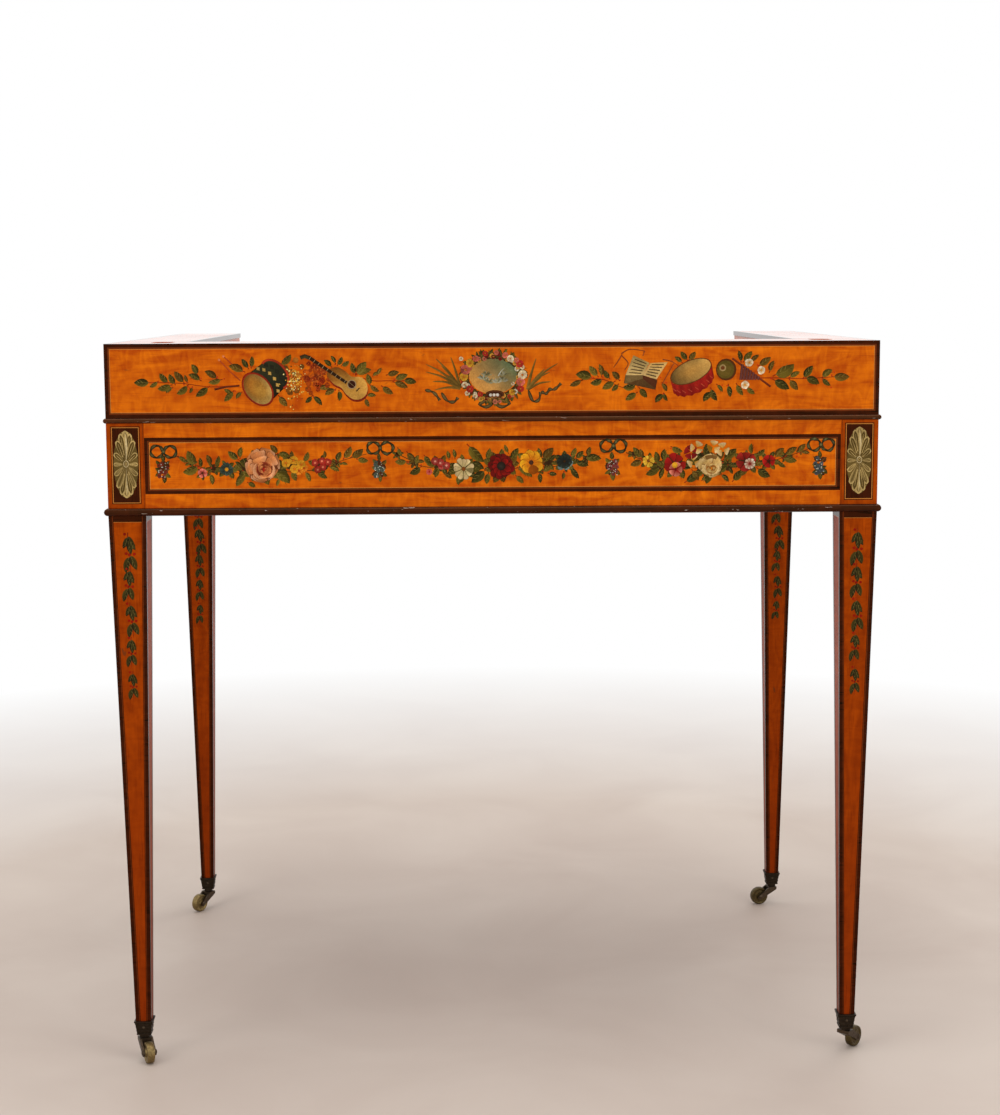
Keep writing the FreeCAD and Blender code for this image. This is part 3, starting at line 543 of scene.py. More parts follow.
BACK = Face((0, BACK_LINE, 0), (-1, 0, 0))
FRONT = Face((0, -BACK_LINE, 0), (1, 0, 0))
RIGHT = Face((CASE_HALF, 0, 0), (0, 1, 0))
LEFT = Face((-CASE_HALF, 0, 0), (0, -1, 0))
FLAT = Face((0, 0, 0), (1, 0, 0), (0, 1, 0))
# the four sides of the case, with half their widths
CASE_FACES = ((BACK, CASE_HALF), (RIGHT, BACK_LINE), (LEFT, BACK_LINE), (FRONT, CASE_HALF))


def leg_middle(where):
    """The middle line of a leg and its castor socket, in millimetres."""
    x, y = CORNERS[where]
    return (CASE_HALF - LEG_WIDTH / 2) * x, (BACK_LINE - LEG_WIDTH / 2) * y


def leg_face(where, direction):
    """The tapered face of a leg that looks in one direction, measured from its foot."""
    out = Vector((*direction, 0))
    rise = Vector((0, 0, CASE_BOTTOM - FOOT_LINE)) + out * (LEG_WIDTH - FOOT_WIDTH) / 2
    foot = Vector((*leg_middle(where), FOOT_LINE)) + out * FOOT_WIDTH / 2
    return Face(foot, Vector((0, 0, 1)).cross(out), rise)


def inset(box, width):
    left, low, right, high = box
    return left + width, low + width, right - width, high - width


def corners(box):
    left, low, right, high = box
    return (left, low), (right, low), (right, high), (left, high)


# strokes of one layer lie a hair apart, so that none fights with another, and all are rooted
# a little under their face
HAIR, ROOT = 1e-6, 1e-5


class Relief:
    """Thin closed pieces on a face: strips of veneer, or strokes of paint with their colours.
    They lie in layers, each as thick as the relief says."""

    def __init__(self, face, thickness):
        self.face, self.thickness, self.strokes = face, thickness, 0
        self.points, self.faces, self.colours = [], [], []

    def add(self, rows, layer):
        """One closed stroke. The rows run along it and hold points: across, up, colour."""
        wide, tall = len(rows[0]), len(rows)
        area = 0.0
        for low, high in zip(rows, rows[1:]):
            for a, b in zip(range(wide), range(1, wide)):
                ring = (low[a], high[a], high[b], low[b])
                area += sum(p[0] * q[1] - q[0] * p[1] for p, q in zip(ring, ring[1:] + ring[:1]))
        if area < 0:
            rows = [row[::-1] for row in rows]
        self.strokes += 1
        lift = self.thickness * layer + self.strokes % 30 * HAIR
        start = len(self.points)
        for height in (lift, -ROOT):
            for row in rows:
                for across, up, shade in row:
                    self.points.append(self.face.at(across, up, height))
                    self.colours.append(shade)
        under = wide * tall
        grid = [[start + i * wide + j for j in range(wide)] for i in range(tall)]
        for low, high in zip(grid, grid[1:]):
            for j in range(wide - 1):
                ring = [low[j], high[j], high[j + 1], low[j + 1]]
                self.faces += [ring, [value + under for value in reversed(ring)]]
        rim = ([row[0] for row in grid] + grid[-1][1:] + [row[-1] for row in grid[-2::-1]]
               + grid[0][-2:0:-1])
        for first, last in zip(rim, rim[1:] + rim[:1]):
            self.faces.append([first + under, last + under, last, first])

    def strip(self, points, layer=1.0, shade=WHITE):
        """A four cornered strip: two corners at its start, then the two at its end."""
        first, second, third, fourth = [(*point, shade) for point in points]
        self.add([[first, second], [fourth, third]], layer)

    def frame(self, box, width, layer=1.0):
        """Four mitred strips inside a box: left, low, right, high."""
        outer, inner = corners(box), corners(inset(box, width))
        for k in range(4):
            n = (k + 1) % 4
            self.strip((outer[k], inner[k], inner[n], outer[n]), layer)

    def mesh(self, name):
        mesh = new_mesh(name, self.points, self.faces)
        layer = mesh.color_attributes.new("paint", "FLOAT_COLOR", "POINT")
        layer.data.foreach_set("color", [value for shade in self.colours for value in solid(shade)])
        mesh.update()
        return mesh


def lay(name, reliefs, material, slot, body="root"):
    """Join reliefs on several faces into one piece."""
    return new_piece(name, joined(name, [relief.mesh(name) for relief in reliefs]), material,
                     body)


# Strokes of paint

def smooth(points, steps=4):
    """A curve through the points."""
    ends = [points[0], *points, points[-1]]
    curve = []
    for p, a, b, q in zip(ends, ends[1:], ends[2:], ends[3:]):
        for t in (step / steps for step in range(steps)):
            curve.append(tuple(0.5 * (2 * a[i] + (b[i] - p[i]) * t
                                      + (2 * p[i] - 5 * a[i] + 4 * b[i] - q[i]) * t * t
                                      + (3 * a[i] - p[i] - 3 * b[i] + q[i]) * t ** 3)
                               for i in (0, 1)))
    return curve + [points[-1]]


def lens(width, power=0.85):
    return lambda share: width * sin(pi * share ** power)


def bud(width):
    """Widths of a petal: narrow at its root and round at its tip."""
    return lambda share: width * sin(pi * min(share, 0.985) ** 1.55) ** 0.6


LEAVES = (tint(88, 76, 18), tint(68, 62, 14), tint(104, 88, 26), tint(98, 68, 16), tint(54, 52, 14))
HUSK_LEAVES = (tint(36, 36, 12), tint(46, 42, 14), tint(30, 30, 10), tint(58, 50, 16))
STEM, BERRY = tint(150, 44, 6), tint(190, 44, 20)
CRIMSON, WINE, SCARLET = tint(160, 20, 20), tint(120, 10, 14), tint(170, 30, 26)
GOLD, AMBER, ORANGE = tint(228, 160, 36), tint(190, 100, 16), tint(222, 126, 24)
CREAM, STRAW, BLUSH = tint(236, 206, 150), tint(190, 170, 110), tint(236, 120, 90)
SALMON, HEART, UMBER = tint(240, 150, 86), tint(170, 24, 16), tint(120, 64, 20)
SOOT = tint(60, 34, 24)


class Painting(Relief):
    """Paint on a face. Every stroke is given with the layer that it lies in."""

    def __init__(self, face, rng=None):
        super().__init__(face, sizes().brush)
        self.rng = rng

    def ribbon(self, line, width, shades, layer):
        """A stroke along a line. Its width is a number, a pair for the line's two ends, or a
        function of the share of the line. Its shades are one, several from side to side, or
        such a function."""
        rows = []
        last = len(line) - 1
        ends = width if isinstance(width, tuple) else (width, width)
        for index, point in enumerate(line):
            before, after = line[max(index - 1, 0)], line[min(index + 1, last)]
            side = Vector((before[1] - after[1], after[0] - before[0])).normalized()
            share = index / last
            half = max((width(share) if callable(width) else between(*ends, share)) / 2, 0.08)
            here = shades(share) if callable(shades) else shades
            if isinstance(here[0], (int, float)):
                here = (here, here)
            steps = [half * (2 * j / (len(here) - 1) - 1) for j in range(len(here))]
            rows.append([(point[0] + side.x * step, point[1] + side.y * step, shade)
                         for step, shade in zip(steps, here)])
        self.add(rows, layer)

    def stem(self, points, width=1.2, shade=STEM, layer=1):
        self.ribbon(smooth(points), (width, width * 0.6), shade, layer)

    def disc(self, middle, edge, shades, layer, shares=(0.02, 1)):
        """A filled shape. Its shades run from the middle out, and may be given for each point
        of the edge by its number. The shares say how far out each of them is."""
        self.add([[(*between(middle, point, share), shade) for share, shade
                   in zip(shares, shades(k) if callable(shades) else shades)]
                  for k, point in enumerate(edge)], layer)

    def dot(self, at, radius, shade, layer, light=None, sides=7, squash=1.0, turn=0.0):
        """A round dab, with a lighter middle."""
        edge = [oval(at, radius, radius * squash, angle, turn) for angle in angles(sides)]
        self.disc(at, edge, (light or scaled(shade, 1.5), shade), layer)

    def near(self, at, wide, low, high):
        """A random place about a point."""
        return at[0] + self.rng.uniform(-wide, wide), at[1] + self.rng.uniform(low, high)

    def leaf(self, start, tip, layer=2, breadth=0.52, shades=LEAVES, glow=0.5):
        """A pointed leaf with a light side, a dark side, a midrib and side veins."""
        rng, start, run = self.rng, Vector(start), Vector(tip) - Vector(start)
        side = Vector((-run.y, run.x))
        bend = rng.uniform(-0.12, 0.12)
        line = [start + run * t + side * bend * sin(pi * t)
                for t in (0, 0.12, 0.3, 0.5, 0.7, 0.87, 1)]
        base = rng.choice(shades)
        light = between(base, tint(160, 136, 50), rng.uniform(0.1, 0.5) * glow / 0.5)
        sides = (light, base, scaled(base, 0.4))
        width = lens(run.length * breadth * rng.uniform(0.85, 1.15))
        self.ribbon(line, width, sides if side.y > 0 else sides[::-1], layer)
        vein = between(light, tint(176, 160, 90), 0.3)
        self.ribbon(line[:-1], (0.45, 0), vein, layer + 1.6)
        if run.length > 9:
            for share, out in ((0.25, 1), (0.4, -1), (0.5, 1), (0.65, -1)):
                root, reach = start + run * share, side * (out * breadth * 0.34)
                tone = scaled(vein, 0.95) if out * side.y > 0 else scaled(base, 0.62)
                self.ribbon([root, root + run * 0.1 + reach * 0.6, root + run * 0.24 + reach],
                            (0.75, 0.25), tone, layer + 1.2)

    def spray(self, leaves, layer=2):
        """Leaves on short red stalks, given by their roots and tips, and a few berries."""
        for a, b, c, d in leaves:
            start, tip = (a, b), (c, d)
            root = between(start, tip, -0.18)
            self.ribbon([root, start, between(start, tip, 0.2)], (1.3, 0.8), STEM, layer - 1)
            self.leaf(start, tip, layer)
            if self.rng.random() < 0.3:
                self.dot(self.near(root, 2, -3, 3), 0.9, BERRY, 1)

    def nosegay(self, at, radius, count=7, layer=1):
        """Leaves that spread out from under a flower, with dark shade between them."""
        self.dot(at, radius * 0.9, tint(70, 44, 16), layer - 0.5, tint(50, 30, 12), 9)
        for k in range(count):
            angle = tau * (k + self.rng.uniform(-0.25, 0.25)) / count
            near, far = radius * 0.55, radius * self.rng.uniform(1.35, 1.7) + 1.5
            self.leaf(oval(at, near, near * 0.85, angle), oval(at, far, far * 0.85, angle),
                      layer, 0.62)

    def petals(self, at, radius, count, inner, outer, layer=4, root=0.15, plump=1.0, edge=None,
               shape=bud):
        """A ring of petals, each shaded from its root to its tip, with a paler rim and shade
        under it."""
        rng = self.rng
        turn = rng.uniform(0, 1)
        for k in range(count):
            angle = tau * (k + turn) / count + rng.uniform(-0.1, 0.1)
            reach = radius * rng.uniform(0.9, 1.08)
            line = [oval(at, reach * t, reach * t, angle)
                    for t in (root, 0.4, 0.62, 0.8, 0.93, 1.0)]
            tip = scaled(outer, rng.uniform(0.68, 1.25))
            rim = edge or scaled(tip, 1.3)

            def shades(t, tip=tip, rim=rim):
                middle = between(inner, tip, min(t * 1.4, 1))
                return between(middle, rim, t), middle, between(middle, inner, 0.25)
            wide = radius * plump * 4.7 / count
            self.ribbon(line, shape(wide + radius * 0.11), scaled(inner, 0.5), layer + k * 0.16)
            self.ribbon(line, shape(wide), shades, layer + k * 0.16 + 0.08)

    def daisy(self, at, radius, count, inner, outer, heart, share=0.26):
        self.petals(at, radius, count, inner, outer)
        self.dot(at, radius * share, heart, 7)

    def dahlia(self, at, radius, count, inner, outer, layer=4, plump=1.5):
        """A flower of many narrow petals."""
        self.petals(at, radius, count, inner, outer, layer, plump=plump, shape=lens)

    def florets(self, spots, radius, outer, heart):
        for spot in spots:
            self.petals(spot, radius, 5, between(outer, heart, 0.3), outer, plump=1.2)
            self.dot(spot, radius * 0.3, heart, 6)

    def rose(self, at, radius, outer, heart):
        """A full rose: broad petals round a low cup of small folded ones."""
        x, y = at
        cup, layer = (x + radius * 0.08, y - radius * 0.28), 4
        for drop, share, count, tone in ((0, 1.0, 6, 0.74), (0.05, 0.84, 5, 0.92),
                                         (0.16, 0.66, 4, 1.08)):
            shade = scaled(outer, tone)
            self.petals((x, y - radius * drop), radius * share, count,
                        between(scaled(shade, 0.4), heart, 0.3), shade, layer, 0.1, 1.2,
                        between(shade, (1, 0.85, 0.6), 0.3))
            layer += 1.4
        self.dot(cup, radius * 0.46, scaled(heart, 0.5), layer + 1, heart, 11)
        for turn in range(22):
            reach = radius * (0.08 + 0.34 * (turn / 22) ** 0.7)
            line = [oval(cup, reach, reach, turn * 2.4 + k * 0.3) for k in range(5)]
            shade = between(scaled(heart, 0.5), outer, self.rng.choice((0.1, 0.35, 0.6, 0.95)))
            self.ribbon(line, lens(radius * 0.15), (shade, scaled(shade, 0.55)),
                        layer + self.rng.uniform(1.8, 3))
        shade = between(scaled(outer, 1.1), (1, 0.8, 0.55), 0.25)
        for sign in (-1, 1):
            line = [oval(cup, radius * 0.6, radius * 0.56, sign * (0.35 + k * 0.4) - pi / 2)
                    for k in range(6)]
            self.ribbon(line, lens(radius * 0.2, 0.8), (scaled(shade, 0.7), shade), layer + 3.4)

    def bow(self, at, size=7.1):
        """A ribbon bow of two round loops over a knot."""
        rng, dark, lit = self.rng, tint(40, 34, 12), tint(126, 124, 78)
        for sign in (-1, 1):
            centre = (at[0] + sign * size * 1.12, at[1])
            phase, twist = rng.uniform(0, 3), rng.uniform(1.6, 2.2)
            loop = [oval(centre, -sign * size * rng.uniform(0.95, 1.05),
                         size * rng.uniform(0.9, 1.04), angle) for angle in angles(16)]

            def fold(t):
                return sin(tau * t * twist + phase)
            self.ribbon(loop, lambda t: 1.5 + 2.7 * abs(fold(t)),
                        lambda t: (dark, between(dark, lit, fold(t) ** 6 * 0.8),
                                   scaled(dark, 0.7)), 4)
        for x, y in ((-3, -6), (3.5, -5)):
            self.ribbon([at, (at[0] + x * 0.4, at[1] + y * 0.6), (at[0] + x, at[1] + y)],
                        (1.6, 0.6), dark, 4)
        self.dot(at, 2.4, dark, 6, lit)

    def pendant(self, at, shade):
        """A small bunch that hangs under a bow."""
        x, y = at
        for a, b, c, d in ((0, 8, -1, 17), (-1, -2, -9, 1), (1, -2, 8, -1), (0, -7, 1, -17),
                           (-2, -5, -9, -9), (2, -4, 9, -10), (-2, 4, -8, 10), (2, 4, 8, 9)):
            self.leaf((x + a, y + b), (x + c, y + d), 2, 0.55)
        for _ in range(8):
            self.dot(self.near(at, 5, -9, 8), 3.6, tint(66, 32, 16), 2)
        self.florets([self.near(at, 5.5, -10, 8) for _ in range(12)], 2.2, scaled(shade, 0.4),
                     scaled(shade, 0.15))
        for _ in range(16):
            self.dot(self.near(at, 6, -11, 8), 0.6,
                     scaled(tint(206, 206, 190), self.rng.uniform(0.5, 1)), 8)


# The painted pieces. Leaves are given by the places of their roots and tips.

GALLERY_LEAVES = (
    (-399, 822, -416, 822), (-377, 823, -386, 833), (-389, 823, -398, 817),
    (-374, 819, -389, 815), (-369, 821, -375, 832), (-359, 823, -369, 835),
    (-372, 816, -379, 810), (-355, 818, -367, 809), (-354, 823, -357, 831),
    (-343, 832, -349, 843), (-340, 825, -353, 831), (-349, 816, -352, 810),
    (-331, 816, -345, 806), (-321, 827, -334, 835), (-316, 825, -330, 822),
    (-302, 811, -312, 800), (-303, 808, -312, 814), (-292, 810, -298, 803),
    (-284, 839, -291, 849), (-280, 840, -279, 852), (-290, 835, -306, 841),
    (-245, 843, -234, 854), (-248, 805, -239, 794), (-188, 840, -196, 847),
    (-183, 844, -188, 852), (-180, 842, -175, 851), (-175, 841, -167, 846),
    (-160, 832, -164, 844), (-158, 832, -147, 845), (-157, 831, -141, 836),
    (-143, 819, -146, 831), (-139, 829, -133, 833), (-134, 830, -129, 838),
    (-142, 818, -132, 811), (-128, 816, -116, 808), (-122, 830, -109, 833),
    (-113, 825, -99, 830), (-114, 821, -99, 815), (-103, 823, -89, 821),
    (-202, 815, -189, 814), (-184, 813, -195, 807), (-179, 811, -179, 800),
    (-146, 806, -136, 806), (-148, 802, -144, 793), (-208, 805, -199, 795),
    (-211, 805, -218, 798), (102, 822, 89, 816), (114, 826, 96, 829),
    (121, 828, 112, 839), (126, 828, 123, 841), (126, 823, 113, 819),
    (135, 825, 129, 834), (146, 823, 138, 832), (140, 820, 127, 812),
    (145, 817, 138, 810), (165, 817, 151, 814), (166, 807, 154, 799),
    (171, 812, 179, 802), (198, 805, 189, 796), (197, 818, 202, 809),
    (199, 806, 203, 798), (225, 846, 218, 855), (228, 846, 235, 855),
    (219, 843, 211, 849), (288, 844, 285, 856), (292, 844, 301, 855),
    (300, 844, 309, 851), (310, 839, 323, 848), (322, 832, 327, 844),
    (329, 828, 350, 840), (346, 825, 357, 831), (328, 821, 345, 811),
    (346, 821, 355, 810), (362, 825, 372, 838), (365, 824, 380, 817),
    (384, 825, 395, 833), (384, 823, 393, 815), (397, 825, 415, 825),
    (254, 807, 245, 797), (254, 811, 261, 798), (261, 816, 267, 808),
    (274, 815, 276, 802), (284, 816, 291, 804), (296, 813, 305, 806))
GALLERY_STEMS = (
    ((-407, 822), (-384, 822), (-359, 821), (-328, 817), (-294, 819)),
    ((-155, 827), (-139, 823), (-124, 823), (-112, 823), (-102, 823)),
    ((100, 822), (114, 824), (129, 823), (150, 814), (166, 813)),
    ((310, 824), (334, 824), (361, 823), (382, 824), (398, 825)))
FRIEZE_LEAVES = (
    (-348, 727, -356, 743), (-345, 724, -362, 718), (-341, 724, -342, 735),
    (-330, 727, -334, 738), (-324, 726, -320, 737), (-330, 715, -328, 703),
    (-298, 733, -309, 742), (-295, 735, -293, 747), (-293, 720, -302, 726),
    (-290, 715, -300, 701), (-286, 705, -278, 700), (-252, 740, -260, 749),
    (-250, 739, -237, 736), (-254, 717, -238, 704), (-250, 709, -253, 701),
    (-366, 736, -357, 729), (-221, 730, -216, 741), (-233, 719, -230, 707),
    (-219, 717, -214, 706), (-205, 717, -194, 710), (-191, 723, -180, 718),
    (-197, 734, -197, 742), (-183, 731, -178, 741), (-177, 728, -170, 726),
    (-174, 734, -166, 747), (-165, 735, -152, 744), (-158, 732, -146, 730),
    (-111, 744, -107, 735), (-102, 729, -115, 729), (-100, 739, -93, 727),
    (-91, 726, -89, 736), (-80, 735, -73, 725), (-86, 722, -98, 715),
    (-64, 720, -68, 710), (-57, 715, -49, 709), (-52, 732, -54, 741),
    (-45, 733, -47, 743), (-28, 746, -11, 728), (-25, 728, -11, 720),
    (-11, 717, -26, 704), (-6, 714, -8, 702), (-42, 711, -41, 701),
    (-8, 732, -4, 744), (17, 739, 13, 748), (21, 732, 29, 744), (30, 720, 45, 710),
    (27, 711, 35, 703), (54, 714, 55, 703), (55, 732, 52, 744), (58, 732, 70, 744),
    (60, 728, 68, 734), (58, 717, 69, 723), (65, 714, 74, 713), (91, 734, 96, 744),
    (97, 732, 105, 740), (97, 726, 111, 723), (91, 720, 100, 708), (82, 715, 81, 707),
    (110, 735, 113, 745), (108, 732, 126, 731), (171, 732, 163, 744),
    (173, 732, 171, 742), (173, 728, 160, 723), (193, 720, 178, 712),
    (191, 726, 189, 739), (199, 729, 200, 742), (199, 719, 195, 707),
    (209, 744, 221, 739), (226, 704, 241, 714), (233, 716, 240, 705),
    (244, 705, 247, 710), (267, 711, 275, 703), (281, 705, 290, 717),
    (270, 730, 284, 742), (275, 723, 285, 725), (302, 736, 302, 748),
    (307, 734, 317, 741), (310, 728, 307, 736), (310, 718, 324, 709),
    (330, 732, 340, 742), (343, 734, 355, 743), (333, 726, 342, 720),
    (340, 730, 355, 727), (356, 737, 365, 747), (361, 737, 370, 736))
FRIEZE_STEMS = (
    ((-370, 737), (-350, 728), (-330, 720), (-310, 718), (-290, 716)),
    ((-250, 718), (-225, 718), (-200, 722), (-175, 731), (-148, 738)),
    ((-116, 740), (-100, 732), (-85, 724), (-60, 720), (-35, 719)),
    ((10, 718), (40, 722), (70, 722), (100, 727), (124, 735)),
    ((155, 738), (172, 730), (195, 724), (215, 721), (240, 719)),
    ((260, 722), (290, 724), (320, 726), (345, 733), (368, 741)))
# place, size and number of leaves under each flower of the garland
GARLAND = (
    (-269, 725, 17, 9), (-311, 721, 8, 6), (-236, 728, 9, 5), (-200, 726, 9, 5),
    (-62, 725, 9, 6), (-35, 720, 12, 7), (9, 723, 14, 9), (44, 727, 12, 7), (84, 727, 9, 8),
    (181, 728, 7, 5), (212, 723, 12, 6), (250, 725, 16, 8), (296, 726, 11, 7), (322, 727, 8, 6),
    (-339, 716, 5, 5), (-352, 729, 4, 5), (-326, 722, 6, 6), (-292, 722, 7, 6),
    (-253, 719, 7, 5), (-183, 728, 4, 5), (-112, 737, 4, 5), (-92, 729, 6, 6), (64, 727, 7, 6),
    (108, 731, 4, 5), (164, 736, 4, 5), (195, 723, 6, 6), (274, 722, 7, 6), (341, 732, 5, 6),
    (360, 739, 3.5, 4))


def paint_frieze(art):
    for line in FRIEZE_STEMS:
        art.stem(line, 1.2, tint(110, 60, 16))
    art.spray(FRIEZE_LEAVES)
    for at, shade in (((-384, 742), tint(186, 74, 56)), ((-132, 745), tint(120, 142, 128)),
                      ((140, 746), tint(202, 92, 88)), ((383, 746), tint(120, 138, 146))):
        art.bow(at)
        art.pendant((at[0] - 1, 722), shade)
    for x, y, radius, count in GARLAND:
        art.nosegay((x, y), radius, count)
    art.rose((-269, 726), 19.5, SALMON, HEART)
    art.petals((-339, 717), 5.5, 5, tint(150, 40, 34), tint(226, 120, 104))
    art.dahlia((-311, 721), 8, 14, tint(30, 40, 36), tint(60, 80, 70))
    art.dot((-311, 721), 2.4, tint(196, 132, 30), 7)
    for spots, radius, outer, heart in (
            (((-242, 728), (-233, 731), (-232, 721), (-224, 726)), 5, GOLD, AMBER),
            (((-227, 719), (-221, 722)), 4.6, tint(226, 130, 30), tint(160, 60, 10)),
            (((-208, 728), (-200, 730), (-193, 729), (-205, 720), (-199, 723)), 4.2, CRIMSON,
             BLUSH),
            (((-68, 729), (-55, 724), (-62, 727)), 4.6, CRIMSON, tint(240, 150, 130)),
            (((-75, 717), (-61, 723)), 3.6, tint(216, 96, 84), CRIMSON)):
        art.florets(spots, radius, outer, heart)
    art.daisy((-35, 720), 12.5, 11, STRAW, CREAM, UMBER, 0.2)
    art.dahlia((9, 723), 15.5, 12, tint(70, 4, 8), WINE)
    art.dahlia((9, 723), 11.5, 10, tint(70, 4, 8), tint(150, 16, 16), 6, 1.4)
    art.dot((9, 723), 5.2, tint(24, 14, 14), 8, tint(52, 44, 40), 11)
    art.dahlia((44, 727), 14.5, 8, tint(206, 104, 12), tint(236, 166, 30), plump=1.35)
    art.dot((44, 727), 2.8, SOOT, 7)
    art.dahlia((83, 728), 9, 10, tint(16, 24, 28), tint(40, 52, 44))
    art.florets(((79, 722), (85, 722), (89, 726)), 3.8, tint(122, 146, 140), tint(40, 60, 60))
    art.daisy((181, 728), 7, 9, tint(214, 150, 30), tint(238, 196, 66), tint(110, 60, 20))
    art.petals((231, 738), 8, 5, WINE, tint(140, 20, 26))
    art.petals((212, 724), 12.5, 7, WINE, CRIMSON)
    art.petals((213, 718), 8, 5, CRIMSON, tint(232, 136, 112), 6)
    art.dot((212, 723), 3.6, GOLD, 9)
    for at in ((237, 743), (257, 744), (268, 741), (234, 727)):
        art.petals(at, 7.5, 3, GOLD, CREAM, plump=0.8)
    art.rose((254, 723), 14, tint(244, 204, 124), ORANGE)
    art.petals((295, 727), 11.5, 6, WINE, tint(166, 38, 30))
    art.petals((300, 724), 6.5, 9, tint(170, 60, 40), tint(244, 226, 196), 7)
    art.daisy((322, 727), 7.5, 5, WINE, tint(190, 26, 22), tint(50, 12, 10))


def paint_drum(art):
    """A side drum lying on its side, with its head to the lower left, and two sticks."""
    red, green, gold = tint(150, 38, 16), tint(48, 54, 34), tint(176, 140, 70)
    tilt = math.radians(-50)
    for first, last in (((-317, 848), (-293, 824)), ((-312, 852), (-290, 834))):
        x, y = between(first, last, 0.5)
        art.ribbon([first, (x, y - 1), last], 1.3, (red, tint(196, 86, 40), red), 2)
        art.dot(first, 1.6, tint(214, 120, 70), 4)
    art.ribbon([(-323, 814), (-309, 817), (-294, 818)], (2.6, 1.6),
               (tint(66, 24, 12), tint(120, 44, 20)), 3)
    head, far = (-273, 814), (-253, 831)

    def rim(centre, scale, angle):
        return oval(centre, 20.5 * scale, 14 * scale, angle, tilt)
    visible = [math.radians(degrees) for degrees in range(-12, 193, 12)]
    art.add([[(*rim(*end, angle), between(green, (0.005, 0.006, 0.004), 0.5 + 0.5 * cos(angle)))
              for end in ((head, 1), (far, 0.92))] for angle in visible], 4)
    for k in range(11):
        angle, odd = math.radians(32 + k * 12), k % 2
        spot = between(rim(head, 1, angle), rim(far, 0.92, angle), 0.36 + 0.3 * odd)
        shade = tint(24, 28, 20) if odd else gold
        art.dot(spot, 3.4 if odd else 2.9, shade, 6 - odd, scaled(shade, 1.5), 4, 0.8, tilt)
    for centre, scale in ((far, 0.93), (head, 1.02)):
        art.ribbon([rim(centre, scale, angle) for angle in visible], 2.6,
                   (red, tint(186, 60, 30), red), 7)
    art.ribbon([rim(head, 1.03, angle) for angle in angles(24)], 2.0,
               (tint(120, 24, 10), tint(176, 50, 24)), 8)

    def skin(k):
        light = 0.5 - 0.5 * cos(tau * k / 24 - 0.4)
        return (tint(180, 130, 50), between(tint(186, 136, 56), tint(168, 108, 36), light),
                between(tint(206, 168, 92), tint(120, 76, 26), light))
    art.disc(head, [rim(head, 1, angle) for angle in angles(24)], skin, 9, (0, 0.5, 0.97))


def paint_guitar(art):
    """A small guitar with its head to the upper left."""
    edge = [(-190, 825), (-184, 819), (-176, 815), (-171, 808), (-163, 802), (-154, 802),
            (-147, 808), (-146, 818), (-152, 827), (-164, 828), (-171, 834), (-180, 839),
            (-189, 837), (-193, 831)]
    loop = smooth(edge + edge[:1], 3)
    x, y = middle = (-167, 821)
    art.disc((x + 0.5, y - 2.6), [(a + 0.5, b - 2.6) for a, b in loop],
             (tint(150, 40, 14), tint(130, 30, 10)), 4, (0, 1))

    def belly(k):
        lit = max(min((loop[k][1] - y - (loop[k][0] - x) * 0.6) / 18, 1), 0)
        return tint(204, 146, 58), between(tint(214, 160, 74), tint(140, 78, 20), lit)
    art.disc(middle, loop, belly, 6, (0, 1))
    dark, pale = tint(44, 24, 14), tint(186, 160, 116)
    art.ribbon([(-214, 851), (-192, 836), (-170, 821)], (4.2, 3.4), dark, 8)
    for k in range(9):
        x, y = between((-212, 849.6), (-172, 822.4), k / 8)
        art.ribbon([(x - 1.1, y - 1.6), (x + 1.1, y + 1.6)], 0.5, pale, 10)
    art.ribbon([(-223, 850), (-218, 852), (-213, 850)], 4.5, (tint(70, 66, 36), dark), 9)
    art.dot((-164, 819), 5.4, pale, 9, sides=14)
    art.dot((-164, 819), 4.4, tint(66, 20, 12), 11, tint(40, 12, 8), 14)
    art.ribbon([(-159, 811), (-155, 815)], 1.3, dark, 9)
    art.ribbon([(-170, 824), (-157, 813)], 0.4, pale, 12)


def paint_book(art):
    """An open music book with plain ruled marks, and a small lyre behind it."""
    for line in (((150, 852), (145, 844), (140, 837)), ((149, 853), (159, 858), (176, 856)),
                 ((176, 856), (174, 850)), ((197, 846), (207, 844), (215, 839)),
                 ((210, 841), (203, 829), (196, 816)), ((150, 850), (157, 842), (153, 834))):
        art.ribbon(smooth(line) if len(line) > 2 else line, (1.5, 0.9),
                   (tint(104, 40, 18), tint(170, 84, 40)), 2)
    for points, layer, shade in (
            (((152, 819), (154, 829), (190, 824), (189, 811)), 3, tint(96, 66, 34)),
            (((153, 818), (174, 824), (174, 828), (154, 828)), 4, tint(120, 96, 56)),
            (((174, 824), (189, 812), (191, 822), (174, 828)), 4, tint(88, 44, 24))):
        art.strip(points, layer, shade)
    cream = tint(224, 190, 122)
    for top_left, top_right, low_left, low_right, far in (
            ((163, 851), (182, 842), (154, 828), (174, 828), tint(166, 142, 86)),
            ((183, 842), (203, 843), (174, 828), (190, 823), tint(214, 170, 96))):
        art.add([[(*top_left, far), (*top_right, far)],
                 [(*low_left, cream), (*low_right, cream)]], 6)
        for line in range(5):
            t = 0.14 + line * 0.18
            left, right = between(top_left, low_left, t), between(top_right, low_right, t)
            art.ribbon([between(left, right, share) for share in (0.14, 0.5, 0.86)],
                       lambda s: 0.9 + 0.5 * sin(s * 40), (tint(84, 66, 40), tint(96, 80, 50)), 8)


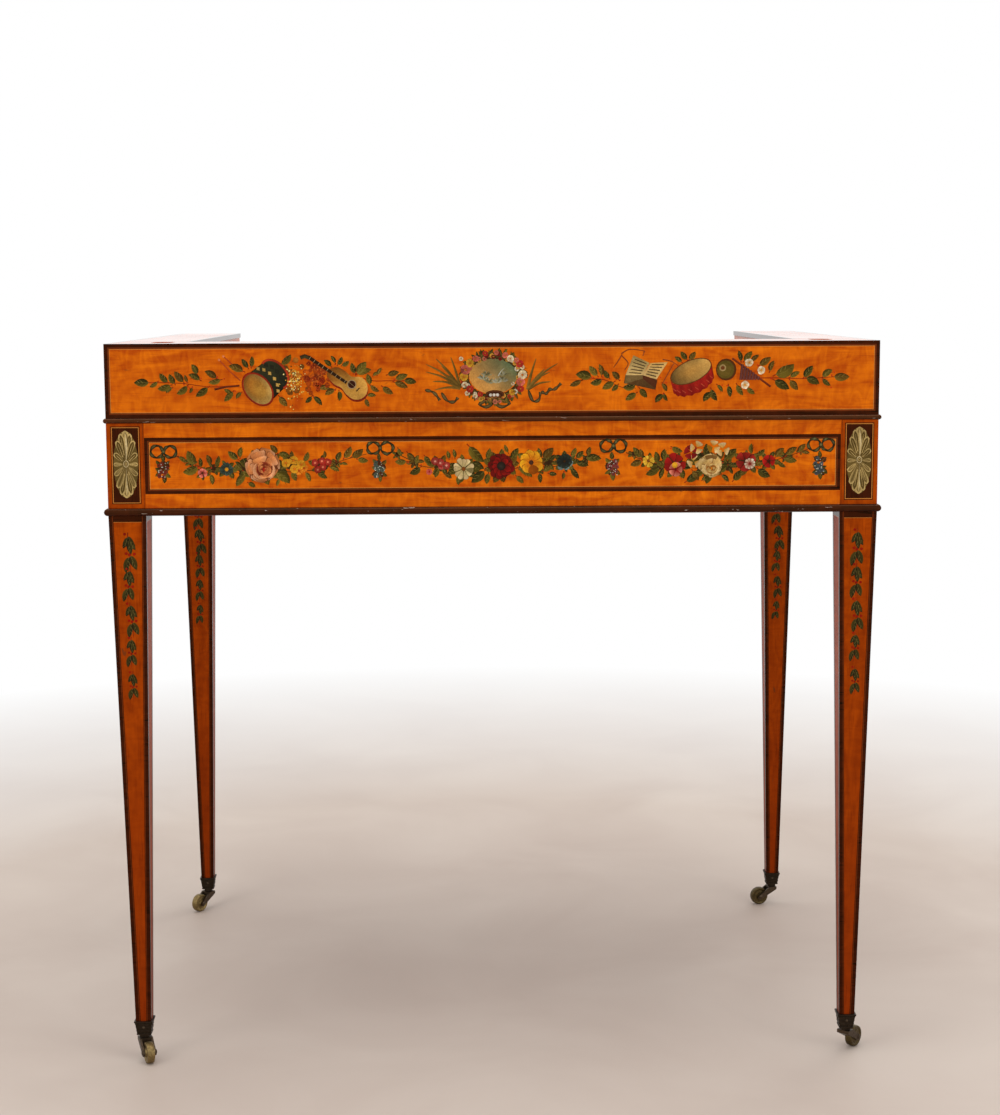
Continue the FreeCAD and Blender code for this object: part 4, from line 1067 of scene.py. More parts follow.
def paint_tambourine(art):
    crimson, head = tint(150, 18, 20), (230, 832)

    def rim(scale, angle, drop=0.0):
        x, y = oval(head, 25.5 * scale, 12.5 * scale, angle, math.radians(24))
        return x + drop * 0.22, y - drop
    rows = []
    for k, angle in enumerate(angles(24, pi, pi)):
        shade = between(crimson, tint(190, 36, 26), 0.5 + 0.5 * sin(k * 1.7))
        rows.append([(*rim(1.02, angle), shade),
                     (*rim(1.0, angle, 7), between(shade, tint(90, 6, 12), 0.3)),
                     (*rim(1.0, angle, 13.5 + sin(k * 2.1)), between(shade, (0.1, 0, 0), 0.4))])
    art.add(rows, 4)
    for k in range(8):
        x, y = rim(1.0, pi * (1.1 + 0.1 * k), 8.5)
        art.ribbon([(x - 2, y + 2), (x + 2, y - 1)], 1.0, (tint(206, 90, 60), tint(176, 44, 30)), 6)
    art.disc(head, [rim(0.96, angle) for angle in angles(28)],
             lambda k: (tint(190, 140, 66), between(tint(216, 168, 88), tint(92, 72, 36),
                                                    0.5 - 0.5 * cos(tau * k / 28))), 8, (0, 1))
    art.ribbon([rim(0.99, angle) for angle in angles(28)], 0.9,
               (tint(110, 60, 24), tint(84, 44, 18)), 9)


def paint_horn_and_pipes(art):
    green, purple = tint(96, 80, 26), tint(86, 34, 32)
    for radius, shade, layer in ((12, tint(88, 40, 14), 5), (10, green, 6),
                                 (7, tint(108, 86, 32), 7)):
        art.dot((271 - (12 - radius) * 0.3, 834), radius, shade, layer, green, 16, 1.06)
    art.dot((267, 836), 4.0, tint(176, 150, 96), 9, tint(110, 60, 24), 12)
    art.dot((267, 836), 2.2, tint(96, 50, 20), 11, sides=9)
    art.ribbon([(278, 847), (300, 831), (323, 814)], 2.4, (tint(104, 30, 12), tint(140, 60, 30)), 4)
    tones = (scaled(purple, 0.6), between(purple, tint(170, 110, 100), 0.3), purple)
    for k in range(7):
        art.ribbon([(290 + k * 3.2, between(840, 826, k / 6)), (288 + k * 3.3, 822)], 3.0, tones, 6)
    for at in ((298, 842), (312, 833), (293, 816)):
        art.dahlia(at, 4.8, 5, tint(206, 160, 96), tint(240, 222, 190), 8, 1.2)
        art.dot(at, 1.2, tint(200, 130, 40), 11)


def paint_blossom(art):
    """The cream and gold blossom and the red flowers between the drum and the guitar."""
    rng = art.rng

    def spot(x, y, tall, wide):
        return rng.gauss(x, wide), rng.gauss(y, tall)
    for k in range(16):
        art.dot(spot(-206, 829, 7, 7), rng.uniform(3, 5),
                rng.choice((tint(168, 66, 10), tint(190, 84, 16), tint(130, 46, 10))), 2)
        art.dot(spot(-230, 822, 9, 5.5), rng.uniform(2.5, 4.5),
                rng.choice((tint(128, 72, 16), tint(176, 104, 30), tint(96, 60, 18))), 3)
    for k in range(34):
        art.petals(spot(-206, 827, 8, 7), rng.uniform(2, 3.6), 4, tint(120, 30, 6),
                   rng.choice((tint(186, 74, 20), tint(150, 40, 10), tint(206, 104, 36))))
    for k in range(170):
        at = spot(-230, 822, 10, 5.5)
        shade = rng.choice((tint(232, 184, 84), tint(206, 140, 36), tint(244, 216, 140),
                            tint(218, 164, 62), tint(110, 70, 20), tint(186, 80, 20)))
        art.dot(at, rng.uniform(0.5, 1.25), shade, 6 + k % 3, sides=5)


def twist(t):
    """How far a curling ribbon shows its width, along it."""
    return abs(sin(pi * t * 2.5))


def paint_wreath(art):
    """A wreath of flowers round a small misty ground, with reeds, a nest and ribbon ends."""
    rng = art.rng
    for root, tips in (((-38, 814), ((-66, 848), (-78, 842), (-78, 833), (-49, 850), (-68, 812),
                                     (-60, 840), (-56, 830), (-70, 822))),
                       ((40, 812), ((50, 848), (75, 842), (60, 836), (46, 835), (67, 821),
                                    (56, 826), (66, 832)))):
        for tip in tips:
            x, y = between(root, tip, 0.5)
            art.ribbon(smooth([root, (x, y + rng.uniform(1, 4)), tip]),
                       lambda t: 3.2 * (1 - t) ** 0.7 + 0.5,
                       (tint(96, 74, 24), tint(142, 106, 42)), 2)
    dark, lit = tint(40, 32, 14), tint(118, 100, 58)
    for line in (((-79, 812), (-69, 809), (-62, 800)),
                 ((-60, 809), (-54, 800), (-46, 798), (-41, 803)),
                 ((41, 811), (46, 799), (53, 800), (55, 809)), ((56, 810), (61, 807), (65, 811)),
                 ((64, 813), (71, 812), (79, 819)),
                 ((1, 797), (-8, 792), (-16, 795), (-8, 799), (1, 797)),
                 ((1, 797), (10, 792), (19, 796), (11, 800), (1, 797))):
        art.ribbon(smooth(line), lambda t: 1.6 + 2.6 * twist(t),
                   lambda t: (dark, between(dark, lit, twist(t)), dark), 3)
    shares = (0.02, 0.35, 0.7, 1.0)

    def mist(k):
        east = 0.5 + 0.5 * cos(tau * k / 24 - 0.7)
        edge = between(tint(226, 158, 74), tint(84, 112, 80), east)
        return [between(tint(170, 140, 88), edge, share ** 0.8) for share in shares]
    art.disc((0, 829), [oval((0, 829), 28, 22, angle) for angle in angles(24)], mist, 4, shares)
    tufts = (tint(104, 104, 78), tint(150, 150, 122), tint(176, 178, 158))
    for at in ((-12, 824), (-8, 828), (5, 820), (11, 822), (-5, 820), (12, 828)):
        for k in range(7):
            angle = math.radians(20 + 22 * k) + rng.uniform(-0.2, 0.2)
            art.leaf(at, oval(at, 7, 6, angle), 6, 0.34, tufts)
    art.ribbon([(6, 828), (9, 833), (13, 837)], (1.2, 0.2), tint(214, 216, 196), 9)
    for angle in angles(40)[:-1]:
        art.dot(oval((0, 827), 32, 24.5, angle), 4.2, tint(60, 46, 18), 4.6, tint(84, 66, 26))
    for angle in angles(96)[:-1]:
        angle += rng.uniform(-0.05, 0.05)
        spread = rng.uniform(0.9, 1.1)
        spot = oval((0, 827), 32 * spread, 25 * spread, angle)
        art.leaf(spot, oval(spot, 8, 8, angle + rng.uniform(-1.3, 1.3)), 5.2, 0.42)
    for angle in angles(46)[:-1]:
        angle += rng.uniform(-0.06, 0.06)
        spread = rng.uniform(0.86, 1.1)
        shade = rng.choice((tint(196, 60, 30), tint(238, 220, 190), tint(122, 20, 20),
                            tint(226, 160, 60), tint(216, 120, 92)))
        art.petals(oval((0, 826), 33 * spread, 26 * spread, angle), rng.uniform(1.7, 2.9), 5,
                   scaled(shade, 0.45), shade, 7, plump=1.2)
    tones = {"p": tint(206, 104, 84), "y": tint(226, 166, 44), "c": tint(240, 218, 176),
             "r": tint(184, 46, 36)}
    for x, y, size, tone in (
            (-27, 843, 4.6, "y"), (-32, 835, 5.8, "p"), (-34, 827, 4.8, "y"), (-33, 818, 3.6, "c"),
            (-27, 813, 4.2, "r"), (-20, 848, 3.6, "p"), (-9, 854, 3.2, "r"), (14, 852, 3.4, "p"),
            (20, 848, 4.0, "c"), (31, 842, 4.4, "r"), (34, 838, 2.8, "c"), (34, 829, 5.4, "c"),
            (32, 821, 5.0, "p"), (22, 809, 3.8, "y"), (32, 813, 3.8, "r"), (23, 819, 2.2, "c"),
            (-15, 807, 3.2, "r"), (-21, 805, 2.8, "c"), (-37, 848, 2.4, "c"), (4, 855, 2.8, "p"),
            (27, 846, 3.0, "p"), (-30, 808, 2.8, "c")):
        shade = tones[tone]
        art.petals((x, y), size, 6, between(shade, tint(110, 24, 14), 0.35), shade, 9, plump=1.15)
        art.dot((x, y), size * 0.26, tint(176, 96, 24), 12)
    for k, shade in enumerate((tint(84, 44, 20), tint(60, 28, 14), tint(104, 60, 28))):
        art.dot((2, 807 - k), 11 - k * 2, shade, 10 + k, sides=14, squash=0.42)
    for x in (-3, 1, 5):
        art.dot((x, 806), 1.9, tint(206, 196, 180), 14, tint(244, 240, 230))
    for _ in range(22):
        start = (rng.uniform(-9, 12), rng.uniform(798, 804))
        art.ribbon([start, art.near(start, 5, -1, 2)], 0.6,
                   (tint(180, 130, 70), tint(130, 80, 40)), 13)


def paint_gallery(art):
    for line in GALLERY_STEMS:
        art.stem(line)
    art.spray(GALLERY_LEAVES)
    for _ in range(22):
        side = art.rng.choice((-1, 1))
        art.dot((side * art.rng.uniform(90, 400), art.rng.uniform(812, 832)), 0.9, BERRY, 1)
    for paint in (paint_blossom, paint_drum, paint_guitar, paint_book, paint_tambourine,
                  paint_horn_and_pipes, paint_wreath):
        paint(art)


# Motifs that follow a path

PATH_INPUTS = (("Geometry", "Geometry"), ("Motif", "Object"), ("Count", "Int"),
               ("First size", "Float"), ("Last size", "Float"), ("Size spread", "Float"),
               ("Turn spread", "Float"), ("Seed", "Int"), ("Finish", "Material"))


def make_path_tree():
    """Geometry nodes that set copies of a motif along each path, facing out of its face."""
    tree = GROUPS["path"] = bpy.data.node_groups.new("motif along a path", "GeometryNodeTree")
    for label, kind in PATH_INPUTS:
        tree.interface.new_socket(label, in_out="INPUT", socket_type="NodeSocket" + kind)
    tree.interface.new_socket("Geometry", in_out="OUTPUT", socket_type="NodeSocketGeometry")
    given = tree.nodes.new("NodeGroupInput").outputs

    def geo(kind, inputs=None, **settings):
        return node(tree, kind, inputs, **settings).outputs[0]

    def chance(low, high):
        return node(tree, "FunctionNodeRandomValue", {"Seed": given["Seed"], 2: low, 3: high},
                    data_type="FLOAT").outputs[1]
    curve = geo("GeometryNodeMeshToCurve", {"Mesh": given["Geometry"]})
    even = geo("GeometryNodeResampleCurve", {"Curve": curve, "Count": given["Count"]}, mode="COUNT")
    outward = geo("GeometryNodeInputNamedAttribute", {"Name": "outward"}, data_type="FLOAT_VECTOR")
    facing = geo("FunctionNodeAxesToRotation", {0: outward, 1: geo("GeometryNodeInputTangent")},
                 primary_axis="Z", secondary_axis="Y")
    swing = Number(given["Turn spread"])
    turn = geo("FunctionNodeAxisAngleToRotation", {"Axis": (0, 0, 1),
                                                   "Angle": chance(swing * -1.0, swing)})
    rotation = geo("FunctionNodeRotateRotation", {0: facing, 1: turn}, rotation_space="LOCAL")
    share = node(tree, "GeometryNodeSplineParameter").outputs["Factor"]
    size = Number(share).remap(0.0, 1.0, given["First size"], given["Last size"])
    spread = Number(given["Size spread"])
    scale = size * chance(1.0 - spread, spread + 1.0)
    motif = node(tree, "GeometryNodeObjectInfo", {"Object": given["Motif"]}).outputs["Geometry"]
    placed = geo("GeometryNodeInstanceOnPoints", {"Points": even, "Instance": motif,
                                                  "Rotation": rotation, "Scale": scale})
    real = geo("GeometryNodeRealizeInstances", {"Geometry": placed})
    done = geo("GeometryNodeSetMaterial", {"Geometry": real, "Material": given["Finish"]})
    feed(tree.nodes.new("NodeGroupOutput"), {0: done})


def along(name, paths, motif, material, **settings):
    """Set a motif along paths, and give the result as one plain mesh. A path is its points,
    whether it closes, and the direction that it faces, or one for each point."""
    if "path" not in GROUPS:
        make_path_tree()
    points, edges, outs = [], [], []
    for line, closed, facing in paths:
        start, end = len(points), len(points) + len(line) - 1
        points += line
        outs += facing if isinstance(facing, list) else [facing] * len(line)
        edges += [(k, k + 1) for k in range(start, end)] + ([(end, start)] if closed else [])
    mesh = new_mesh(name + "_path", points, [], edges)
    layer = mesh.attributes.new("outward", "FLOAT_VECTOR", "POINT")
    layer.data.foreach_set("vector", [value for out in outs for value in out])
    guide, shape = add_object(name + "_guide", mesh), add_object(name + "_motif", motif)
    modifier = guide.modifiers.new("motif along a path", "NODES")
    modifier.node_group = GROUPS["path"]
    values = {"Motif": shape, "Finish": MATERIALS[material], "First size": 1.0, "Last size": 1.0,
              "Size spread": 0.0, "Turn spread": 0.0, "Seed": 1, **settings}
    for socket in GROUPS["path"].interface.items_tree:
        if socket.in_out == "INPUT" and socket.name in values:
            modifier[socket.identifier] = values[socket.name]
    graph = bpy.context.evaluated_depsgraph_get()
    made = bpy.data.meshes.new_from_object(guide.evaluated_get(graph))
    for item in (guide, shape):
        bpy.data.objects.remove(item)
    if not made.polygons:
        raise RuntimeError("nothing was set along the path of " + name)
    if "outward" in made.attributes:
        made.attributes.remove(made.attributes["outward"])
    return made


# Turned and bent metal, in millimetres

def shell(rings, closed=False):
    """A mesh through rings of points. Its two ends are capped, or else joined to each other."""
    count, last = len(rings[0]), len(rings) - 1
    starts = [(k * count, (k + 1) * count) for k in range(last)] + [(last * count, 0)] * closed
    faces = [[a + k, a + (k + 1) % count, b + (k + 1) % count, b + k]
             for a, b in starts for k in range(count)]
    if not closed:
        faces += [list(range(count))[::-1], [last * count + k for k in range(count)]]
    return new_mesh("shell", [Vector(point) * MM for ring in rings for point in ring], faces)


def turned(profile, steps=32, closed=False):
    """A mesh turned about Z from radius and height pairs."""
    return shell([[(*oval((0, 0), radius, radius, angle), height)
                   for angle in angles(steps)[:-1]] for radius, height in profile], closed)


def tube(points, radius, sides=10, swell=0.0):
    """A round rod through points, thicker in the middle, with closed ends."""
    line = [Vector(point) for point in points]
    last = len(line) - 1
    normal, rings = (line[1] - line[0]).orthogonal(), []
    for index, point in enumerate(line):
        run = (line[min(index + 1, last)] - line[max(index - 1, 0)]).normalized()
        normal = (normal - run * normal.dot(run)).normalized()
        here = radius + swell * sin(pi * index / last) ** 3
        rings.append([point + (normal * cos(angle) + run.cross(normal) * sin(angle)) * here
                      for angle in angles(sides)[:-1]])
    return shell(rings)


def plate(outline, low, high, bevel):
    """A flat plate over the XY plane with a bevelled upper edge."""
    middle = Vector((sum(p[0] for p in outline), sum(p[1] for p in outline))) / len(outline)
    rings = []
    for slope, height in ((0, low), (0, high - bevel), (bevel * 1.2, high)):
        inward = [(middle - Vector(point)).normalized() * slope for point in outline]
        rings.append([(x + step.x, y + step.y, height) for (x, y), step in zip(outline, inward)])
    return shell(rings)


def moved(mesh, place, z_axis=(0, 0, 1)):
    """Turn a mesh so that its Z points along an axis, and put it in its place in metres."""
    turn = Vector((0, 0, 1)).rotation_difference(Vector(z_axis)).to_matrix().to_4x4()
    mesh.transform(Matrix.Translation(Vector(place)) @ turn)
    return mesh


SHARP = math.radians(38)


def rounded(mesh):
    """Shade a mesh smooth apart from its sharp edges, with its poles closed."""
    for polygon in mesh.polygons:
        polygon.use_smooth = True
    work = bmesh.new()
    work.from_mesh(mesh)
    bmesh.ops.remove_doubles(work, verts=work.verts, dist=1e-7)
    bmesh.ops.recalc_face_normals(work, faces=work.faces)
    for edge in work.edges:
        if len(edge.link_faces) == 2 and edge.calc_face_angle(0) > SHARP:
            edge.smooth = False
    work.to_mesh(mesh)
    work.free()
    return mesh


# Operators

def white_where_seen(tree):
    """1 where the camera, a reflection or glass looks, and 0 where only light arrives."""
    rays = node(tree, "ShaderNodeLightPath").outputs
    seen = Number(rays["Is Camera Ray"]).sum("MAXIMUM", rays["Is Glossy Ray"])
    return seen.sum("MAXIMUM", rays["Is Transmission Ray"])


# the floor's edge, and where on it the fade to the background begins and ends, in metres
FLOOR_RADIUS, FADE = 6.0, (0.95, 2.3)


def make_floor():
    """A pale floor that fades to the white of the background."""
    tree, shader, place = new_material("pale floor", IOR=1.3, Roughness=0.55)
    far = node(tree, "ShaderNodeVectorMath", {0: place}, operation="LENGTH").outputs["Value"]
    fade = Number(far).remap(*FADE)
    cloud = noise(place, 3, 5, 0.6).remap(0.3, 0.7)
    feed(shader, {"Base Color": cloud.mix(solid(tint(196, 180, 168)), solid(tint(208, 194, 182)))})
    white = node(tree, "ShaderNodeEmission", {"Color": solid(WHITE), "Strength": 1.0})
    both = node(tree, "ShaderNodeMixShader", {
        0: fade * white_where_seen(tree), 1: shader.outputs[0], 2: white.outputs[0]})
    feed(tree.nodes["Material Output"], {"Surface": both.outputs[0]})
    work = bmesh.new()
    bmesh.ops.create_circle(work, cap_ends=True, radius=FLOOR_RADIUS, segments=64)
    mesh = bpy.data.meshes.new("floor")
    work.to_mesh(mesh)
    work.free()
    mesh.materials.append(MATERIALS["pale floor"])
    add_object("floor", mesh)


def make_lamps():
    world = bpy.context.scene.world = bpy.data.worlds.new("studio")
    world.use_nodes = True
    strength = white_where_seen(world.node_tree).remap(0.0, 1.0, 0.72, 1.0)
    feed(world.node_tree.nodes["Background"], {"Color": solid(WHITE), "Strength": strength})
    for name, place, width, power in (("overhead", (0, 0.2, 2.9), 2.6, 34),
                                      ("camera left", (2.6, 2.6, 2.0), 1.8, 22),
                                      ("camera right", (-2.6, 2.4, 1.8), 1.8, 16),
                                      ("front left", (-2.4, -2.6, 2.0), 1.8, 18)):
        lamp = bpy.data.lights.new(name, "AREA")
        lamp.shape, lamp.size, lamp.energy = "DISK", width, power
        aim = (Vector((0, 0, 0.6)) - Vector(place)).to_track_quat("-Z", "Y")
        add_object(name, lamp).matrix_world = (Matrix.Translation(place)
                                               @ aim.to_matrix().to_4x4())


CAMERA_PLACE = (0.0289, 2.666, 0.9196)
CAMERA_DOWN, CAMERA_ASIDE, CAMERA_ROLL = (math.radians(a) for a in (7.404, 0.881, -0.258))
CAMERA_LENS = 64.9


def make_camera():
    """The photograph's view of the back of the desk."""
    sight = Vector((-sin(CAMERA_ASIDE) * cos(CAMERA_DOWN), -cos(CAMERA_ASIDE) * cos(CAMERA_DOWN),
                    -sin(CAMERA_DOWN)))
    right = Vector((-cos(CAMERA_ASIDE), sin(CAMERA_ASIDE), 0))
    up = right.cross(sight)
    across = right * cos(CAMERA_ROLL) + up * sin(CAMERA_ROLL)
    upright = up * cos(CAMERA_ROLL) - right * sin(CAMERA_ROLL)
    glass = bpy.data.cameras.new("photograph")
    glass.lens, glass.sensor_width, glass.sensor_fit = CAMERA_LENS, 36, "AUTO"
    camera = bpy.context.scene.camera = add_object("photograph", glass)
    camera.matrix_world = (Matrix.Translation(CAMERA_PLACE)
                           @ Matrix((across, upright, -sight)).transposed().to_4x4())
    bpy.context.scene.view_settings.view_transform = "Standard"


class StageOperator(bpy.types.Operator):
    """Lay the floor, hang the lamps and set up the camera"""
    bl_idname = "desk.stage"
    bl_label = "Floor, lamps and camera"

    def execute(self, context):
        make_floor()
        make_lamps()
        make_camera()
        return {"FINISHED"}


class VeneerOperator(bpy.types.Operator):
    """Finish the wood of the case, the legs, the gallery and the drawers"""
    bl_idname = "desk.veneer"
    bl_label = "Wood of case and drawers"

    def execute(self, context):
        make_materials()
        dress("satinwood_x", "back_rail", "gallery_back", "front_rail_top", "front_rail_bottom",
              *nodes_ending("_front"))
        dress("satinwood_y", "side_rail_left", "side_rail_right", "gallery_side_left",
              "gallery_side_right", "gallery_inner_walls", "gallery_partitions")
        dress("satinwood_z", "drawer_dividers")
        dress("satinwood_leg", *["leg_" + where for where in CORNERS])
        dress("satinwood_top", "gallery_top")
        dress("satinwood_desk", "desk_top")
        dress("waist moulding", "waist_bead")
        dress("base moulding", "base_moulding")
        dress("carcase_x", "drawer_stops", "glue_blocks")
        dress("carcase_y", "drawer_runners", *nodes_ending("_box"))
        return {"FINISHED"}


BAND_FINISHES = {"dark": ("rosewood_x", "dark_banding"), "red": ("reddish", "dark_banding"),
                 "light": ("boxwood", "satinwood")}
# what is inlaid on each side of the case: the heights of the frieze panel and of the dark
# panels over the legs, half the width and the middle of these, and the middle of a patera
FRIEZE_PANEL, CORNER_PANEL = (692.6, 758.4), (681, 771.6)
PANEL_HALF, PANEL_MIDDLE, PATERA_MIDDLE = 17.0, 22.0, 727.4
FRIEZE_FRAME = (("dark", 3.6), ("red", 1.2), ("dark", 0.7), ("light", 0.7))
GALLERY_FRAME = (("dark", 4.1), ("red", 2.0), ("light", 0.6))
# the strips down a leg's edges, with their widths at its top and at its foot, and the strip
# and the line across its top, with the distances of their edges below it
LEG_STRIPS = (("dark", 3.9, 4.3), ("red", 0.9, 0.8), ("dark", 0.6, 0.7))
LEG_CAP, LEG_CAP_MARGIN = (("dark", 7, 0), ("light", 7.5, 7.1)), 5.5
# the middle of a seam between a leg's block and the frieze, past the block's edge, and half
# its width
SEAM_MIDDLE, SEAM_HALF = 1.6, 0.25
# how far the band is inside the edge of a drawer's front, and how deep its face lies
FRIEZE_DRAWER_INLAY, SMALL_DRAWER_INLAY = (6, 1.5), (3, 0)


class Bands(dict):
    """The dark, redder and light strips on one face."""

    def __init__(self, face):
        super().__init__({name: Relief(face, sizes().relief) for name in BAND_FINISHES})

    def frame(self, box, widths):
        """Mitred frames inside each other, each given as one of the three strips and a width."""
        for name, width in widths:
            self[name].frame(box, width)
            box = inset(box, width)


def leg_bands(face):
    """Tapering strips down both edges of one face of a leg, and a dark strip at its top."""
    bands = Bands(face)
    for sign in (-1, 1):
        edges = sign * FOOT_WIDTH / 2, sign * LEG_WIDTH / 2
        top = foot = 0
        for name, wide_top, wide_foot in LEG_STRIPS:
            bands[name].strip(((edges[0] - sign * foot, 0),
                               (edges[0] - sign * (foot + wide_foot), 0),
                               (edges[1] - sign * (top + wide_top), LEG_LENGTH),
                               (edges[1] - sign * top, LEG_LENGTH)))
            top, foot = top + wide_top, foot + wide_foot
    reach = LEG_WIDTH / 2 - LEG_CAP_MARGIN
    for name, low, high in LEG_CAP:
        bands[name].strip(corners((-reach, LEG_LENGTH - low, reach, LEG_LENGTH - high)))
    return bands


def drawer_inlay(drawer, margin, bead):
    """A dark band and a light line round a drawer's front."""
    low, high = (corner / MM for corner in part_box(drawer + "_front"))
    bands = Bands(Face((0, low.y + bead, 0), (1, 0, 0)))
    bands.frame(inset((low.x, low.z, high.x, high.z), margin),
                (("dark", sizes().banding / MM), ("light", sizes().line / MM)))
    for name, word in (("dark", "_banding"), ("light", "_stringing")):
        lay(drawer + word, [bands[name]], *BAND_FINISHES[name], drawer)


class InlayOperator(bpy.types.Operator):
    """Lay the dark bandings and light lines on the case and the legs"""
    bl_idname = "desk.inlay"
    bl_label = "Bandings and stringing"

    def execute(self, context):
        all_bands, panels = [], []
        for face, half in CASE_FACES:
            bands, panel = Bands(face), Relief(face, sizes().relief)
            if face is not FRONT:
                reach = half - LEG_WIDTH + 0.2
                bands.frame((-half, DESK_LINE, half, TOP_LINE), GALLERY_FRAME)
                bands.frame((-reach, FRIEZE_PANEL[0], reach, FRIEZE_PANEL[1]), FRIEZE_FRAME)
                for sign in (-1, 1):
                    seam = sign * (half - LEG_WIDTH + SEAM_MIDDLE)
                    bands["red"].strip(corners((seam - SEAM_HALF, MOULDING_TOP,
                                                seam + SEAM_HALF, WAIST_LINE)), 0.5)
            for sign in (-1, 1):
                centre = sign * (half - PANEL_MIDDLE)
                box = (centre - PANEL_HALF, CORNER_PANEL[0], centre + PANEL_HALF, CORNER_PANEL[1])
                panel.strip(corners(box), 0.8)
                bands["light"].frame(inset(box, 1), 0.75, 1.4)
            all_bands.append(bands)
            panels.append(panel)
        all_bands += [leg_bands(leg_face(where, direction)) for where in CORNERS
                      for direction in ((0, 1), (0, -1), (1, 0), (-1, 0))]
        for name, finish in BAND_FINISHES.items():
            lay("bandings_" + name, [bands[name] for bands in all_bands], *finish)
        lay("corner_panels", panels, "rosewood_z", "dark_banding")
        for name in sorted(nodes_ending("_front"), key=lambda name: "frieze" not in name):
            inlay = FRIEZE_DRAWER_INLAY if "frieze" in name else SMALL_DRAWER_INLAY
            drawer_inlay(name[:-len("_front")], *inlay)
        return {"FINISHED"}


# the petals of a patera: their width, how near they come to its rim, whether they are bright,
# and their directions in degrees
FANS = ((9.0, 1.0, True, (90, 270)), (6.4, 0.99, False, (67, 113, 247, 293)),
        (6.6, 0.98, False, (46, 134)), (6.8, 0.98, True, (226, 314)),
        (6.0, 0.97, False, (20, 160)), (5.6, 0.97, True, (200, 340)),
        (4.6, 0.97, True, (0, 180)))


def draw_patera():
    """An oval shell of petals in olive ink with pale outlines, round a small curled heart."""
    ground, dark = tint(112, 92, 46), tint(72, 52, 20)
    line, pale = tint(200, 172, 108), tint(222, 200, 146)
    wide, tall = 14.3, 39.2
    art = Painting(FLAT)
    edge = [oval((0, 0), wide * (1 + 0.012 * cos(angle * 16)),
                 tall * (1 + 0.012 * cos(angle * 16)), angle) for angle in angles(60)]
    art.disc((0, 0), edge, (ground, ground, between(ground, dark, 0.15)), 0.6, (0.02, 0.6, 1))
    petals = [(*kind, degrees) for *kind, directions in FANS for degrees in directions]
    for place, (breadth, share, bright, degrees) in enumerate(petals):
        tip = oval((0, 0), wide * share, tall * share, math.radians(degrees))
        steps = (0.1, 0.3, 0.5, 0.7, 0.85, 0.95)
        path = [between((0, 0), tip, t) for t in steps + (1.0,)]
        layer = 1.5 + place * 0.25
        inside = between(ground, line, 0.55) if bright else between(ground, dark, 0.35)
        art.ribbon(path, bud(breadth), line, layer)
        art.ribbon(path[:-1], bud(breadth - 1.5), (inside, between(ground, dark, 0.5), inside),
                   layer + 0.8)
        if place > 1:
            art.ribbon(path[1:-2], (0.9, 0.3), line, layer + 1.6)
            continue
        for shift, shade in ((1.3, pale), (-1.6, line)):
            side = [(x + shift * sin(pi * min(t * 1.1, 1)), y) for t, (x, y) in zip(steps, path)]
            art.ribbon(side, lens(2.4), shade, layer + 1.6)
    for radius, shade, layer in ((3.1, pale, 7), (2.3, dark, 8), (1.5, line, 9), (0.7, dark, 10)):
        art.dot((0.2, 0.6), radius, shade, layer, shade, 14, 1.35)
    return art.mesh("patera")


class PateraOperator(bpy.types.Operator):
    """Set the oval paterae into the corner blocks"""
    bl_idname = "desk.paterae"
    bl_label = "Oval paterae"

    def execute(self, context):
        patera = draw_patera()
        copies = []
        for face, half in CASE_FACES:
            turn = Matrix((face.across, face.up, face.out)).transposed().to_4x4()
            for sign in (-1, 1):
                spot = face.at(sign * (half - PANEL_MIDDLE), PATERA_MIDDLE, sizes().relief)
                copies.append(patera.copy())
                copies[-1].transform(Matrix.Translation(spot) @ turn)
        new_piece("paterae", joined("paterae", copies), "flower paint")
        return {"FINISHED"}


class PaintingOperator(bpy.types.Operator):
    """Paint the trophies and the wreath on the gallery and the garland on the frieze"""
    bl_idname = "desk.painting"
    bl_label = "Painting on the back"

    def execute(self, context):
        for name, paint, seed in (("painted_trophies", paint_gallery, 11),
                                  ("painted_garland", paint_frieze, 5)):
            art = Painting(BACK, random.Random(seed))
            paint(art)
            lay(name, [art], "flower paint", "satinwood")
        return {"FINISHED"}


# the trails on the inward faces: their start below the case, and how much longer they are
INNER_TRAIL = (10, 1.15)


class HuskOperator(bpy.types.Operator):
    """Paint the trails of husks down the legs"""
    bl_idname = "desk.husks"
    bl_label = "Husks on the legs"

    def execute(self, context):
        unit = Painting(FLAT, random.Random(3))
        unit.stem([(0, -4), (0.8, 8), (-0.4, 20), (0.6, 38)])
        for a, b, c, d in ((-0.4, 0, -6.4, 14.5), (0.6, 1, 6.2, 12), (0.2, 5, -1.6, 18.5),
                           (-0.6, 20, -5.8, 35), (0.8, 21.5, 5.4, 37.5)):
            unit.leaf((a, b), (c, d), 2, 0.4, HUSK_LEAVES, 0.15)
        for spot in ((3.2, -2.5), (-4.8, 18.5), (3.4, 17.5), (0.2, 19)):
            unit.dot(spot, 1.5, tint(130, 8, 2), 5, tint(180, 16, 6))
        outer, inner = [], []
        for where, (x, y) in CORNERS.items():
            for direction in ((0, y), (x, 0), (0, -y)):
                inward = direction == (0, -y)
                start, stretch = INNER_TRAIL if inward else (sizes().husk_start / MM, 1)
                top = LEG_LENGTH - start
                stop = top - sizes().husk_run / MM * stretch
                path = leg_face(where, direction).path(((0, top), (0, stop)))
                (inner if inward else outer).append(path)
        trails = [along("husk_trails", paths, unit.mesh("husk"), "flower paint",
                        **{"Count": sizes().husks // 2 + more, "First size": 1.1, "Seed": 4,
                           "Last size": 0.82, "Size spread": 0.1, "Turn spread": 0.13})
                  for paths, more in ((outer, 0), (inner, 1))]
        new_piece("husk_trails", joined("husk_trails", trails), "flower paint")
        return {"FINISHED"}


